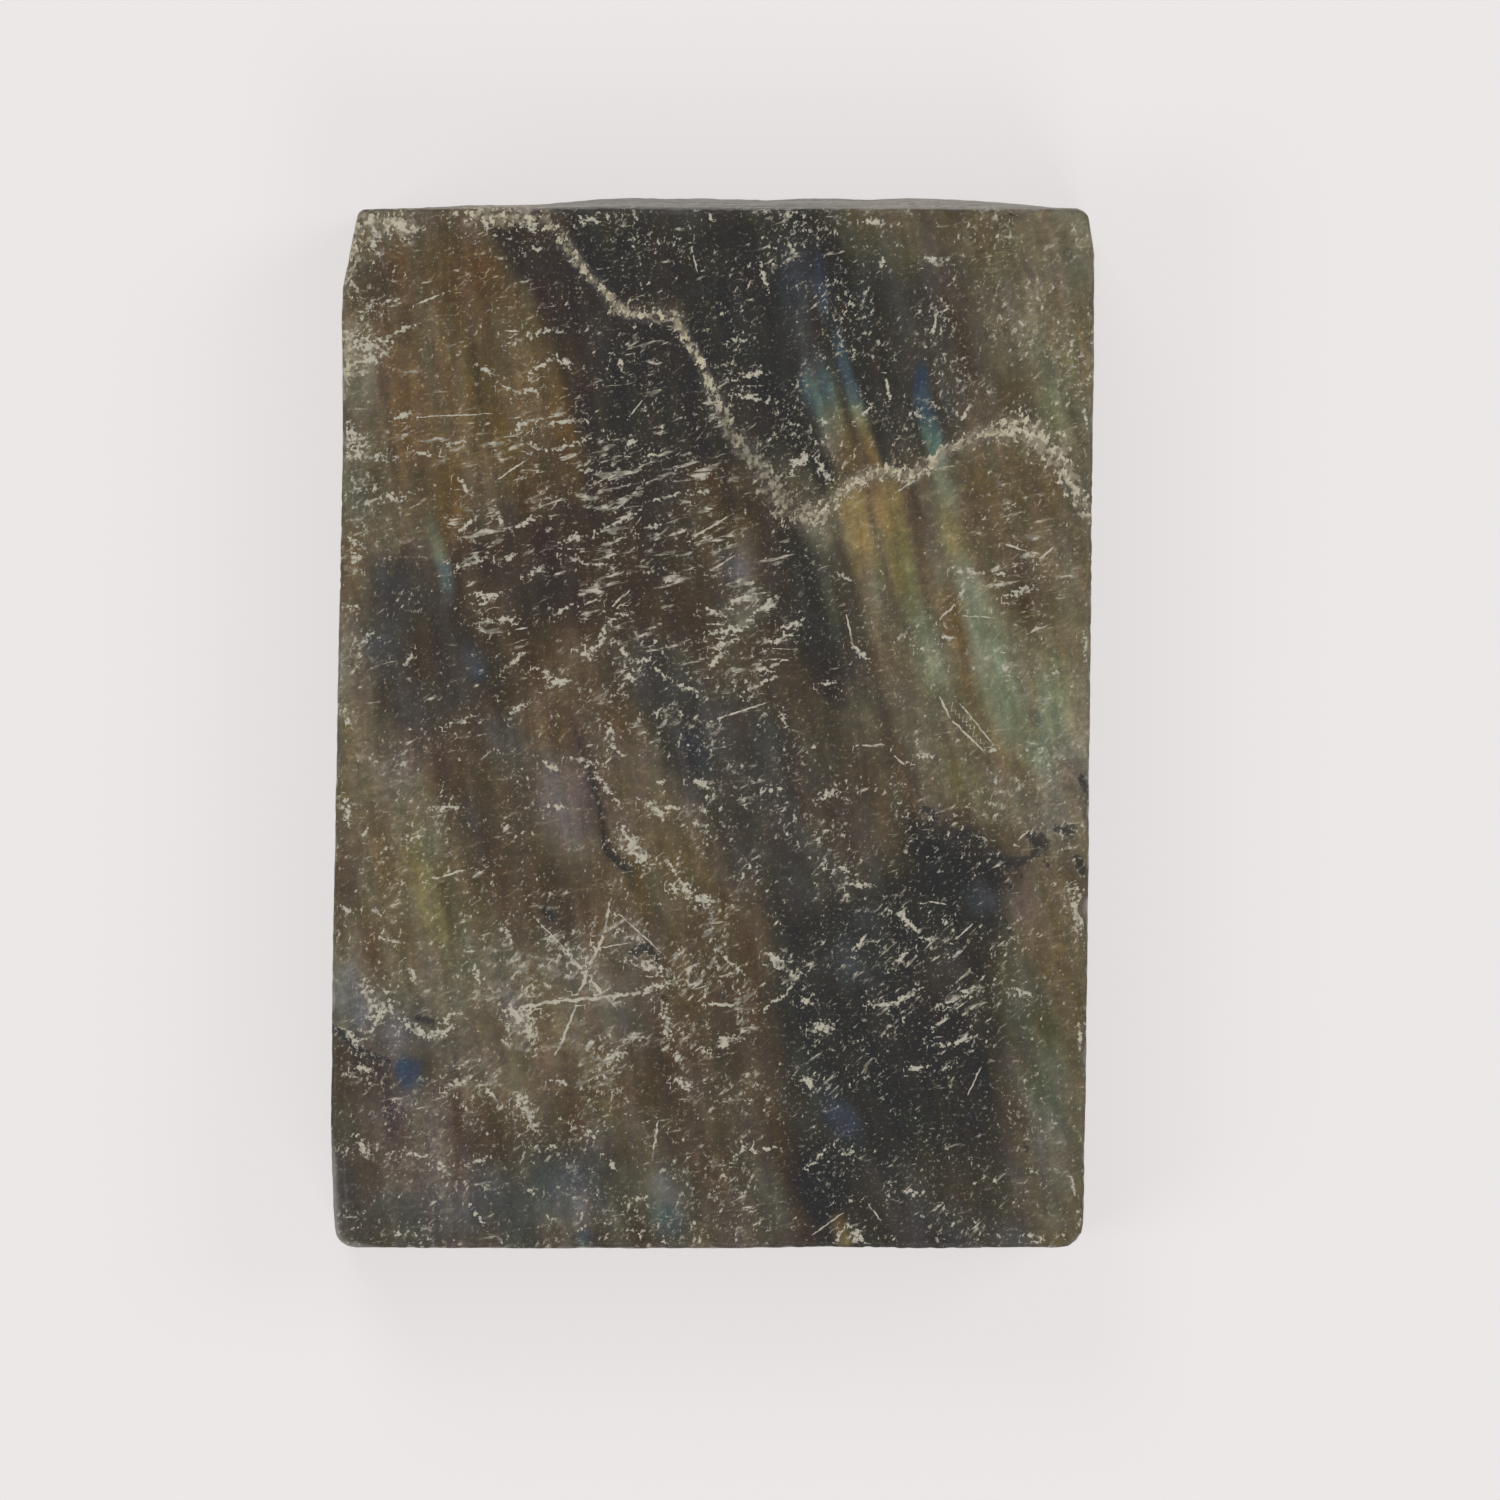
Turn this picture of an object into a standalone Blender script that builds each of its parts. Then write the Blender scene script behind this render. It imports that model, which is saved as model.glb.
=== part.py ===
"""A sawn slab of rough labradorite, lying on its back with its patterned face up.

It is one solid: a rectangular piece, sawn on its faces and trimmed on its four edges, with a dulled
arris round each face, chips along the arrises, two crumbling veins that meet, fissures, scratches
and small pits. X runs across the slab, Y along it and Z up through its thickness; the underside
lies at Z = 0. Run it with: blender --background --python part.py
"""

import math
import random

import bmesh
import bpy
from mathutils import Matrix, Vector, noise

MM = 0.001

# Driving dimensions of the slab, in millimetres.
THICKNESS = 5.0
TOP_EDGE = 14.85
BOTTOM_EDGE = -15.15
STATION_STEP = 1.0
CORNER_STEPS = 4

# The long edges wander a little: (place along Y, distance across X).
LEFT_EDGE = (
    (-15.2, -10.92), (-12.0, -11.03), (-9.7, -11.0), (-2.2, -10.9), (3.5, -10.8),
    (9.9, -10.68), (12.35, -10.74), (12.9, -10.62), (13.56, -10.48), (14.9, -10.28),
)
RIGHT_EDGE = (
    (-15.2, 10.70), (-10.9, 10.77), (-2.8, 10.86), (2.4, 10.92),
    (9.3, 11.0), (13.6, 11.0), (14.9, 10.86),
)

# Towards the underside the top wall swells outward: (place along X, swelling).
TOP_SWELL = (
    (-10.3, 0.03), (-7.0, 0.22), (-5.0, 0.27), (-2.7, 0.43), (7.5, 0.43), (8.3, 0.34), (10.9, 0.05),
)

# Corner radii, seen from above.
CORNER_RADIUS = {"bottom_left": 0.6, "bottom_right": 0.7, "top_right": 0.35, "top_left": 0.25}

# The arris round the patterned face is dulled, and ground wider near the bottom left corner.
FRONT_ARRIS = 0.12
GROUND_ARRIS = 0.36
GROUND_FROM = -11.4
GROUND_FULL = -12.4
BACK_ARRIS = 0.18
ARRIS_SLOPE = 0.9
WALL_LEVELS = (1.0, 1.9, 2.8, 3.6, 4.3)

# Roughness of the sawn walls.
WALL_WANDER = 0.035
WALL_RELIEF = 0.05
TOP_WALL_RELIEF = 0.12

# Chips seen along the front arris: (x, y, radius of the shell-shaped break, bite).
FRONT_CHIPS = (
    (-10.35, 14.80, 0.55, 0.22),
    (-10.62, 13.05, 0.70, 0.14),
    (-6.35, 14.88, 0.55, 0.17),
    (-5.55, 14.92, 0.75, 0.24),
    (-4.85, 14.90, 0.45, 0.16),
    (-1.10, 14.86, 0.80, 0.10),
    (4.40, 14.84, 0.90, 0.10),
    (8.90, 14.80, 0.60, 0.12),
    (10.95, 10.90, 0.70, 0.11),
    (10.90, 3.60, 0.80, 0.10),
    (10.85, -2.60, 0.60, 0.10),
    (10.82, -5.30, 0.55, 0.20),
    (10.75, -9.60, 0.70, 0.11),
    (7.60, -15.15, 0.70, 0.11),
    (1.80, -15.15, 0.80, 0.10),
    (-4.30, -15.15, 0.60, 0.12),
    (-10.95, -7.90, 0.70, 0.15),
    (-10.88, -1.20, 0.80, 0.10),
    (-10.78, 5.50, 0.60, 0.13),
)
BACK_CHIPS = 22
BACK_CHIP_RADIUS = (0.6, 1.8)
BACK_CHIP_BITE = (0.14, 0.34)

# Veins, fissures and scratches in the patterned face, as points along each one.
VEIN_FROM_TOP = (
    (-5.9, 15.6), (-5.1, 14.6), (-4.5, 14.2), (-3.9, 13.3), (-3.2, 12.5), (-2.7, 11.9),
    (-2.0, 11.75), (-1.1, 11.8), (-0.8, 11.1), (-0.3, 10.3), (0.1, 9.3), (0.5, 8.4),
    (1.1, 7.7), (1.7, 6.9), (2.2, 6.2), (2.9, 5.7),
)
VEIN_TO_RIGHT = (
    (2.7, 5.4), (3.3, 6.3), (3.9, 6.9), (4.7, 7.25), (5.6, 7.1), (6.1, 7.3), (6.8, 7.9),
    (7.8, 8.4), (8.8, 8.6), (9.7, 8.1), (10.2, 7.2), (10.7, 6.2), (11.6, 4.9),
)
CENTRE_FISSURE = ((-3.7, -0.9), (-3.5, -1.7), (-3.1, -2.6), (-2.8, -3.4), (-2.5, -4.3))
LEFT_FISSURE = ((-11.5, -8.6), (-10.6, -9.1), (-9.8, -9.6), (-9.2, -9.8))
LONG_SCRATCH = ((-5.3, -8.2), (-3.4, -7.8), (-1.5, -7.5))
BOTTOM_SCRATCH = ((3.0, -14.8), (3.5, -14.4), (4.0, -14.0))

# Each groove: its points, half its width and its depth.
GROOVES = {
    "vein_from_top": (VEIN_FROM_TOP, 0.12, 0.12),
    "vein_to_right": (VEIN_TO_RIGHT, 0.13, 0.12),
    "centre_fissure": (CENTRE_FISSURE, 0.07, 0.10),
    "left_fissure": (LEFT_FISSURE, 0.08, 0.12),
    "long_scratch": (LONG_SCRATCH, 0.05, 0.06),
    "bottom_scratch": (BOTTOM_SCRATCH, 0.05, 0.06),
}
GROOVE_STEP = 0.45
GROOVE_THROW = 0.06
GROOVE_WOBBLE = 0.4
GROOVE_PROUD = 0.10

# Pits where the saw tore grains out.
FRONT_PITS = 70
BACK_PITS = 14
PIT_LENGTH = (0.16, 0.42)
PIT_SQUASH = (0.35, 0.7)
PIT_DEPTH = (0.05, 0.11)
REST_PATCH = 3.5

STONE_COLOUR = (0.075, 0.072, 0.066, 1.0)
STONE_ROUGHNESS = 0.42


def clear_scene():
    for thing in list(bpy.data.objects):
        bpy.data.objects.remove(thing, do_unlink=True)


def stone_material():
    material = bpy.data.materials.new("labradorite")
    material.use_nodes = True
    shader = material.node_tree.nodes["Principled BSDF"]
    shader.inputs["Base Color"].default_value = STONE_COLOUR
    shader.inputs["Roughness"].default_value = STONE_ROUGHNESS
    shader.inputs["Metallic"].default_value = 0.0
    return material


def value_at(places, where):
    """The value at one place, on straight runs between the given (place, value) pairs."""
    if where <= places[0][0]:
        return places[0][1]
    for (start, low), (end, high) in zip(places, places[1:]):
        if where <= end:
            return low + (high - low) * (where - start) / (end - start)
    return places[-1][1]


def eased(fraction):
    fraction = min(max(fraction, 0.0), 1.0)
    return fraction * fraction * (3.0 - 2.0 * fraction)


def corner_arc(corner, centre, start_angle):
    radius = CORNER_RADIUS[corner]
    for step in range(CORNER_STEPS + 1):
        angle = start_angle + 0.5 * math.pi * step / CORNER_STEPS
        yield Vector((centre[0] + radius * math.cos(angle), centre[1] + radius * math.sin(angle)))


def stations(start, end):
    """Evenly spaced places strictly between two ends."""
    count = max(2, round(abs(end - start) / STATION_STEP))
    return [start + (end - start) * step / count for step in range(1, count)]


def face_outline():
    """The slab's outline seen from above, anticlockwise from the bottom left corner."""
    radius = CORNER_RADIUS
    left_foot = value_at(LEFT_EDGE, BOTTOM_EDGE) + radius["bottom_left"]
    right_foot = value_at(RIGHT_EDGE, BOTTOM_EDGE) - radius["bottom_right"]
    left_head = value_at(LEFT_EDGE, TOP_EDGE) + radius["top_left"]
    right_head = value_at(RIGHT_EDGE, TOP_EDGE) - radius["top_right"]
    bottom_left = (left_foot, BOTTOM_EDGE + radius["bottom_left"])
    bottom_right = (right_foot, BOTTOM_EDGE + radius["bottom_right"])
    top_right = (right_head, TOP_EDGE - radius["top_right"])
    top_left = (left_head, TOP_EDGE - radius["top_left"])

    points = list(corner_arc("bottom_left", bottom_left, math.pi))
    points += [Vector((x, BOTTOM_EDGE)) for x in stations(left_foot, right_foot)]
    points += corner_arc("bottom_right", bottom_right, 1.5 * math.pi)
    points += [Vector((value_at(RIGHT_EDGE, y), y)) for y in stations(bottom_right[1], top_right[1])]
    points += corner_arc("top_right", top_right, 0.0)
    points += [Vector((x, TOP_EDGE)) for x in stations(right_head, left_head)]
    points += corner_arc("top_left", top_left, 0.5 * math.pi)
    points += [Vector((value_at(LEFT_EDGE, y), y)) for y in stations(top_left[1], bottom_left[1])]
    return points


def outward_normals(points):
    normals = []
    for index, point in enumerate(points):
        along = points[(index + 1) % len(points)] - points[index - 1]
        normals.append(Vector((along.y, -along.x)).normalized())
    return normals


def arris_width(point):
    """Narrow all round, and wider on the ground stretch of the left edge."""
    if point.x > -9.5:
        return FRONT_ARRIS
    ground = eased((GROUND_FROM - point.y) / (GROUND_FROM - GROUND_FULL))
    return FRONT_ARRIS + (GROUND_ARRIS - FRONT_ARRIS) * ground


def wall_point(point, normal, height):
    """A point of the wall: the outline, swollen towards the underside along the top, and rough."""
    depth = 1.0 - height / THICKNESS
    facing_top = max(normal.y, 0.0) ** 2
    swell = facing_top * value_at(TOP_SWELL, point.x) * math.sin(0.5 * math.pi * min(depth * 1.3, 1.0))
    wander = WALL_WANDER * noise.noise(Vector((point.x * 0.45, point.y * 0.45, 3.7)))
    relief = WALL_RELIEF + (TOP_WALL_RELIEF - WALL_RELIEF) * facing_top
    rough = relief * depth * noise.noise(Vector((point.x * 0.8, point.y * 0.8, height * 0.9 + 11.0)))
    return point + normal * (swell + wander + rough)


def slab_rings():
    """Rings of points from the underside up to the patterned face."""
    points = face_outline()
    normals = outward_normals(points)
    pairs = list(zip(points, normals))
    foot = [wall_point(point, normal, BACK_ARRIS) - normal * BACK_ARRIS for point, normal in pairs]
    rings = [[(place.x, place.y, 0.0) for place in foot]]
    for height in (BACK_ARRIS,) + WALL_LEVELS:
        ring = [wall_point(point, normal, height) for point, normal in pairs]
        rings.append([(place.x, place.y, height) for place in ring])
    shoulder = []
    face = []
    for point, normal in pairs:
        width = arris_width(point)
        outer = wall_point(point, normal, THICKNESS)
        inner = outer - normal * width
        shoulder.append((outer.x, outer.y, THICKNESS - width * ARRIS_SLOPE))
        face.append((inner.x, inner.y, THICKNESS))
    rings += [shoulder, face]
    return rings


def add_loop(shape, points):
    corners = [shape.verts.new(point) for point in points]
    return [shape.edges.new((corners[index - 1], corners[index])) for index in range(len(corners))]


def skin_loops(shape, rings):
    """Closed loops joined one to the next, and closed at both ends."""
    loops = [add_loop(shape, ring) for ring in rings]
    for lower, upper in zip(loops, loops[1:]):
        bmesh.ops.bridge_loops(shape, edges=lower + upper)
    bmesh.ops.holes_fill(shape, edges=loops[0] + loops[-1], sides=0)
    bmesh.ops.recalc_face_normals(shape, faces=shape.faces)


def new_object(name, shape, collection):
    """A mesh object from a bmesh drawn in millimetres."""
    bmesh.ops.scale(shape, vec=(MM, MM, MM), verts=shape.verts)
    mesh = bpy.data.meshes.new(name)
    shape.to_mesh(mesh)
    shape.free()
    thing = bpy.data.objects.new(name, mesh)
    collection.objects.link(thing)
    return thing


def build_slab():
    shape = bmesh.new()
    skin_loops(shape, slab_rings())
    slab = new_object("labradorite_slab", shape, bpy.context.scene.collection)
    slab.data.materials.append(stone_material())
    return slab


def shell_cutter(name, centre, size, turn, detail, cutters):
    """A lumpy ball that leaves a shell-shaped hollow where it meets the stone."""
    shape = bmesh.new()
    bmesh.ops.create_icosphere(shape, subdivisions=detail, radius=1.0)
    offset = Vector(centre)
    for vert in shape.verts:
        lump = 1.0 + 0.12 * noise.noise(vert.co * 1.7 + offset)
        vert.co = Vector((vert.co.x * size[0], vert.co.y * size[1], vert.co.z * size[2])) * lump
    bmesh.ops.transform(shape, matrix=Matrix.Translation(offset) @ turn, verts=shape.verts)
    return new_object(name, shape, cutters)


def chip_cutter(name, edge_point, outward, up, radius, bite, cutters):
    """A chip off an arris: the ball stands off the edge so that only its bite reaches in."""
    away = Vector((outward.x, outward.y, up)).normalized()
    centre = Vector(edge_point) + away * (radius - bite)
    return shell_cutter(name, centre, (radius, radius, radius), Matrix.Identity(4), 3, cutters)


def nearest_edge(x, y, points, normals):
    place = Vector((x, y))
    index = min(range(len(points)), key=lambda number: (points[number] - place).length)
    return points[index], normals[index]


def add_chips(cutters):
    points = face_outline()
    normals = outward_normals(points)
    for number, (x, y, radius, bite) in enumerate(FRONT_CHIPS, 1):
        _, normal = nearest_edge(x, y, points, normals)
        edge_point = (x, y, THICKNESS - 0.5 * FRONT_ARRIS)
        chip_cutter(f"cut_front_chip_{number:02d}", edge_point, normal, 0.8, radius, bite, cutters)
    dice = random.Random(41)
    for number in range(1, BACK_CHIPS + 1):
        index = round(len(points) * (number + dice.uniform(-0.3, 0.3)) / BACK_CHIPS) % len(points)
        place = wall_point(points[index], normals[index], BACK_ARRIS)
        edge_point = (place.x, place.y, 0.5 * BACK_ARRIS)
        radius = dice.uniform(*BACK_CHIP_RADIUS)
        bite = dice.uniform(*BACK_CHIP_BITE)
        chip_cutter(f"cut_back_chip_{number:02d}", edge_point, normals[index], -1.0, radius, bite, cutters)


def add_pits(cutters):
    """Long shallow pits: strewn over the patterned face, and a few on the underside."""
    dice = random.Random(7)
    for number in range(1, FRONT_PITS + BACK_PITS + 1):
        on_front = number <= FRONT_PITS
        place = Vector((dice.uniform(-10.2, 10.2), dice.uniform(-14.4, 14.2)))
        if not on_front and place.length < REST_PATCH:
            place *= 2.0 * REST_PATCH / max(place.length, 0.1)
        half_length = 0.5 * dice.uniform(*PIT_LENGTH)
        half_width = half_length * dice.uniform(*PIT_SQUASH)
        depth = dice.uniform(*PIT_DEPTH)
        height = THICKNESS if on_front else 0.0
        turn = Matrix.Rotation(math.radians(dice.uniform(-60.0, 60.0)), 4, "Z")
        size = (half_length, half_width, depth)
        shell_cutter(f"cut_pit_{number:02d}", (place.x, place.y, height), size, turn, 1, cutters)


def broken_line(path, dice):
    """A path redrawn in short steps, each thrown a little to one side, as a crack runs."""
    corners = [Vector(place) for place in path]
    line = []
    for start, end in zip(corners, corners[1:]):
        run = end - start
        side = Vector((run.y, -run.x)).normalized()
        steps = max(1, round(run.length / GROOVE_STEP))
        for step in range(steps):
            throw = dice.uniform(-GROOVE_THROW, GROOVE_THROW) if step else 0.0
            line.append(start + run * step / steps + side * throw)
    return line + corners[-1:]


def groove_cutter(name, path, half_width, depth, seed, cutters):
    """A V-section swept along a path in the patterned face, its width and depth varying."""
    dice = random.Random(seed)
    line = broken_line(path, dice)
    rings = []
    for index, place in enumerate(line):
        along = line[min(index + 1, len(line) - 1)] - line[max(index - 1, 0)]
        side = Vector((along.y, -along.x)).normalized()
        swing = 1.0 + dice.uniform(-GROOVE_WOBBLE, GROOVE_WOBBLE)
        narrow = 0.5 if index in (0, len(line) - 1) else 1.0
        deep = depth * swing * narrow
        wide = half_width * swing * narrow * (deep + GROOVE_PROUD) / deep
        left = place - side * wide
        right = place + side * wide
        rings.append([
            (left.x, left.y, THICKNESS + GROOVE_PROUD),
            (right.x, right.y, THICKNESS + GROOVE_PROUD),
            (place.x, place.y, THICKNESS - deep),
        ])
    shape = bmesh.new()
    skin_loops(shape, rings)
    return new_object(name, shape, cutters)


def add_grooves(cutters):
    for number, (name, (path, half_width, depth)) in enumerate(GROOVES.items(), 1):
        groove_cutter(f"cut_{name}", path, half_width, depth, number, cutters)


def cut_stone(slab, cutters):
    for cutter in cutters.objects:
        cutter.hide_render = True
        cutter.display_type = "WIRE"
    cut = slab.modifiers.new("chips, veins and pits", "BOOLEAN")
    cut.operation = "DIFFERENCE"
    cut.solver = "EXACT"
    cut.operand_type = "COLLECTION"
    cut.collection = cutters


def centre_on_origin(slab, cutters):
    """Put the middle of the slab's box over the origin, with its underside at Z = 0."""
    corners = [Vector(corner) for corner in slab.bound_box]
    middle = sum(corners, Vector()) / len(corners)
    shift = Matrix.Translation((-middle.x, -middle.y, 0.0))
    for thing in [slab] + list(cutters.objects):
        thing.data.transform(shift)


def main():
    clear_scene()
    cutters = bpy.data.collections.new("cutters")
    bpy.context.scene.collection.children.link(cutters)
    slab = build_slab()
    add_chips(cutters)
    add_grooves(cutters)
    add_pits(cutters)
    centre_on_origin(slab, cutters)
    cut_stone(slab, cutters)


main()
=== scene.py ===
import math

import bmesh
import bpy
import numpy as np
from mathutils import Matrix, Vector
from mathutils.bvhtree import BVHTree


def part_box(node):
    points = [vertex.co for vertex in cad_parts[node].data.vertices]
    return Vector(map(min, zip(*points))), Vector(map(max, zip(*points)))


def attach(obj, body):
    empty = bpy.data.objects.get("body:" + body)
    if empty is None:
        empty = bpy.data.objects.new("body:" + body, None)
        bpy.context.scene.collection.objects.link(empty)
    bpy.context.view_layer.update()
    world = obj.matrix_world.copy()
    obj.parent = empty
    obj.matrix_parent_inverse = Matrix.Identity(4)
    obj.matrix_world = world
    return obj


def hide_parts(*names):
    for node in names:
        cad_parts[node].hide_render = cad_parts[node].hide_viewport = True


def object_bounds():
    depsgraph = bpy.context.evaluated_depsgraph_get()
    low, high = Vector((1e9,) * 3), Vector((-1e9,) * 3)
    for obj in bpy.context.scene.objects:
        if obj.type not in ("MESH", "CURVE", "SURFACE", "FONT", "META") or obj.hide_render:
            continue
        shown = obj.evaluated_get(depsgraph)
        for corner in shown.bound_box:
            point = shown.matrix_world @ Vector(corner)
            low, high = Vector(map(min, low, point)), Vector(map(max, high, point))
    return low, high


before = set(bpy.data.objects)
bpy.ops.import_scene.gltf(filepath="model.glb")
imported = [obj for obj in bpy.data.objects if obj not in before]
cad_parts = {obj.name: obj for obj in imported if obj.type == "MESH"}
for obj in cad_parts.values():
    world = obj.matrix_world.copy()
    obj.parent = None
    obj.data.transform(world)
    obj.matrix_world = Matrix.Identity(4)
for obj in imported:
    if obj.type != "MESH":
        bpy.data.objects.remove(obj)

cad_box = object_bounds()


# The camera.
# It looks straight down on the slab from arm's length through a long lens, as on a copy stand.
# Its axis passes a little right of and below the slab's middle. Lengths here are in millimetres.

MM = 0.001
CAMERA_HEIGHT = 400.0
CAMERA_PLACE = (1.076, -0.839)
FIELD_AT_FACE = 43.315
SENSOR = 36.0
slab_thickness = (cad_box[1][2] - cad_box[0][2]) / MM

camera_data = bpy.data.cameras.new("copy_stand_camera")
camera_data.sensor_width = SENSOR
camera_data.lens = SENSOR * CAMERA_HEIGHT / FIELD_AT_FACE
camera_data.clip_start = 0.01
camera_data.clip_end = 10.0
camera = bpy.data.objects.new("copy_stand_camera", camera_data)
camera.location = Vector((*CAMERA_PLACE, slab_thickness + CAMERA_HEIGHT)) * MM
bpy.context.collection.objects.link(camera)
bpy.context.scene.camera = camera
bpy.context.scene.view_settings.view_transform = "Standard"


# The floor and the studio light.
# A pale translucent table, faintly lit from below so that the slab's shadow stays soft, under four
# soft boxes set at a slant, so that none of them shines back off the stone into the lens.

FLOOR_SIZE = 3.0
FLOOR_COLOUR = (0.24, 0.2325, 0.231, 1.0)
FLOOR_GLOW = (1.0, 0.965, 0.96, 1.0)
FLOOR_GLOW_STRENGTH = 0.59
SOFT_BOX_REACH = 0.55
SOFT_BOX_RISE = 0.52
SOFT_BOX_SIZE = 0.34
SOFT_BOX_POWER = 1.6
SOFT_BOX_SLANT = 20.0
ROOM_LIGHT = 0.30

floor_shape = bmesh.new()
bmesh.ops.create_grid(floor_shape, x_segments=2, y_segments=2, size=FLOOR_SIZE / 2)
floor_mesh = bpy.data.meshes.new("floor")
floor_shape.to_mesh(floor_mesh)
floor_shape.free()
floor = bpy.data.objects.new("floor", floor_mesh)
bpy.context.collection.objects.link(floor)
floor_finish = bpy.data.materials.new("pale_table")
floor_finish.use_nodes = True
floor_shader = floor_finish.node_tree.nodes["Principled BSDF"]
floor_shader.inputs["Base Color"].default_value = FLOOR_COLOUR
floor_shader.inputs["Roughness"].default_value = 1.0
floor_shader.inputs["Specular IOR Level"].default_value = 0.0
floor_shader.inputs["Emission Color"].default_value = FLOOR_GLOW
floor_shader.inputs["Emission Strength"].default_value = FLOOR_GLOW_STRENGTH
floor_mesh.materials.append(floor_finish)

for side in range(4):
    angle = math.radians(90.0 * side + SOFT_BOX_SLANT)
    box_data = bpy.data.lights.new(f"soft_box_{side + 1}", "AREA")
    box_data.shape = "SQUARE"
    box_data.size = SOFT_BOX_SIZE
    box_data.energy = SOFT_BOX_POWER
    soft_box = bpy.data.objects.new(f"soft_box_{side + 1}", box_data)
    place = Vector((SOFT_BOX_REACH * math.cos(angle), SOFT_BOX_REACH * math.sin(angle), SOFT_BOX_RISE))
    soft_box.location = place
    soft_box.rotation_euler = (-place).to_track_quat("-Z", "Y").to_euler()
    bpy.context.collection.objects.link(soft_box)

room = bpy.data.worlds.new("room")
room.use_nodes = True
room.node_tree.nodes["Background"].inputs["Color"].default_value = (1.0, 1.0, 1.0, 1.0)
room.node_tree.nodes["Background"].inputs["Strength"].default_value = ROOM_LIGHT
bpy.context.scene.world = room


# The slab's block.
# One sawn block of labradorite. Its outline, arrises, chips, veins and pits are those of the frame's
# solid, taken up on a fine net of points so that broken and crumbling edges can be drawn on it.

# Squares of the nets on the face and the underside, and where the rings down the walls lie.
FACE_COLUMNS, FACE_ROWS = 214, 292
BACK_COLUMNS, BACK_ROWS = 70, 96
BACK_INSET = 0.985
WALL_DEPTHS = (
    0.05, 0.10, 0.16, 0.26, 0.45, 0.80, 1.25, 1.75, 2.30, 2.85, 3.40, 3.95, 4.40, 4.70, 4.84, 4.93,
)
# The ways out fan at a corner from this far in, a net's rim stops this short of its face, and rays on
# to a face start this far off it.
INNER_MARGIN = 1.6
SKIN = 0.006
RAY_START = 1.0
FACE_SMOOTHING = 0.5

low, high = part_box("labradorite_slab")
half_width = (high[0] - low[0]) / 2 / MM
half_length = (high[1] - low[1]) / 2 / MM
solid_shape = bmesh.new()
solid_shape.from_mesh(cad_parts["labradorite_slab"].data)
bmesh.ops.scale(solid_shape, vec=(1 / MM, 1 / MM, 1 / MM), verts=solid_shape.verts)
solid_surface = BVHTree.FromBMesh(solid_shape)
solid_shape.free()


def way_out(across, along):
    """The foot and direction of the way out at the unit net's rim, fanned out at a corner."""
    rim = Vector((across * half_width, along * half_length, 0.0))
    inner = Vector((
        max(INNER_MARGIN - half_width, min(half_width - INNER_MARGIN, rim.x)),
        max(INNER_MARGIN - half_length, min(half_length - INNER_MARGIN, rim.y)),
        0.0,
    ))
    return inner, (rim - inner).normalized()


def wall_place(across, along, height):
    """Where the solid's wall stands at one height, met from outside."""
    inner, outward = way_out(across, along)
    start = inner + outward * 2.0 * INNER_MARGIN
    start.z = height
    return solid_surface.ray_cast(start, -outward)[0]


def lay_net(shape, columns, rows, level, inset):
    """A net stretched over the block at one level, its rim on the wall there (a Coons patch)."""
    net = bmesh.ops.create_grid(shape, x_segments=columns, y_segments=rows, size=1.0)["verts"]
    unit = {vert: (round(vert.co.x, 6), round(vert.co.y, 6)) for vert in net}
    edge = {vert: place for vert, place in unit.items() if 1.0 in map(abs, place)}
    rim = {place: wall_place(*place, level) * inset for place in edge.values()}
    for vert, (across, along) in unit.items():
        right, up = (across + 1) / 2, (along + 1) / 2
        sides = rim[-1.0, along].lerp(rim[1.0, along], right)
        ends = rim[across, -1.0].lerp(rim[across, 1.0], up)
        foot = rim[-1.0, -1.0].lerp(rim[1.0, -1.0], right)
        head = rim[-1.0, 1.0].lerp(rim[1.0, 1.0], right)
        vert.co = sides + ends - foot.lerp(head, up)
        vert.co.z = level
    return net, edge


def rim_edges(rim):
    """The open edges that join one ring's points."""
    edges = {edge for vert in rim for edge in vert.link_edges if edge.other_vert(vert) in rim}
    return [edge for edge in edges if edge.is_boundary]


def settle(net, rim, start, direction):
    """Drop the net's inner points on to the solid's face, with its pits, veins and chips."""
    for vert in net:
        if vert not in rim:
            above = Vector((vert.co.x, vert.co.y, start))
            hit = solid_surface.ray_cast(above, Vector((0, 0, direction)))[0]
            vert.co.z = hit.z if hit else vert.co.z


block = bmesh.new()
face_net, face_rim = lay_net(block, FACE_COLUMNS, FACE_ROWS, slab_thickness - SKIN, 1.0)
settle(face_net, face_rim, slab_thickness + RAY_START, -1.0)
bmesh.ops.smooth_vert(
    block, verts=[vert for vert in face_net if vert not in face_rim], factor=FACE_SMOOTHING,
    use_axis_x=False, use_axis_y=False, use_axis_z=True,
)
rim, outward = face_rim, {}
for depth in WALL_DEPTHS + (slab_thickness - SKIN,):
    grown = bmesh.ops.extrude_edge_only(block, edges=rim_edges(rim))["geom"]
    next_rim = {}
    for vert in (item for item in grown if isinstance(item, bmesh.types.BMVert)):
        above = next(edge.other_vert(vert) for edge in vert.link_edges if edge.other_vert(vert) in rim)
        next_rim[vert] = rim[above]
        vert.co = wall_place(*rim[above], slab_thickness - depth)
        outward[vert] = way_out(*rim[above])[1]
    rim = next_rim
for vert in rim:
    vert.co.z = 0.0
back_net, back_rim = lay_net(block, BACK_COLUMNS, BACK_ROWS, SKIN, BACK_INSET)
settle(back_net, back_rim, -RAY_START, 1.0)
for vert in back_rim:
    vert.co.z = 0.0
back_faces = list({face for vert in back_net for face in vert.link_faces})
bmesh.ops.reverse_faces(block, faces=back_faces)
bmesh.ops.bridge_loops(block, edges=rim_edges(rim) + rim_edges(back_rim))
bmesh.ops.recalc_face_normals(block, faces=block.faces)
block.verts.index_update()

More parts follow.
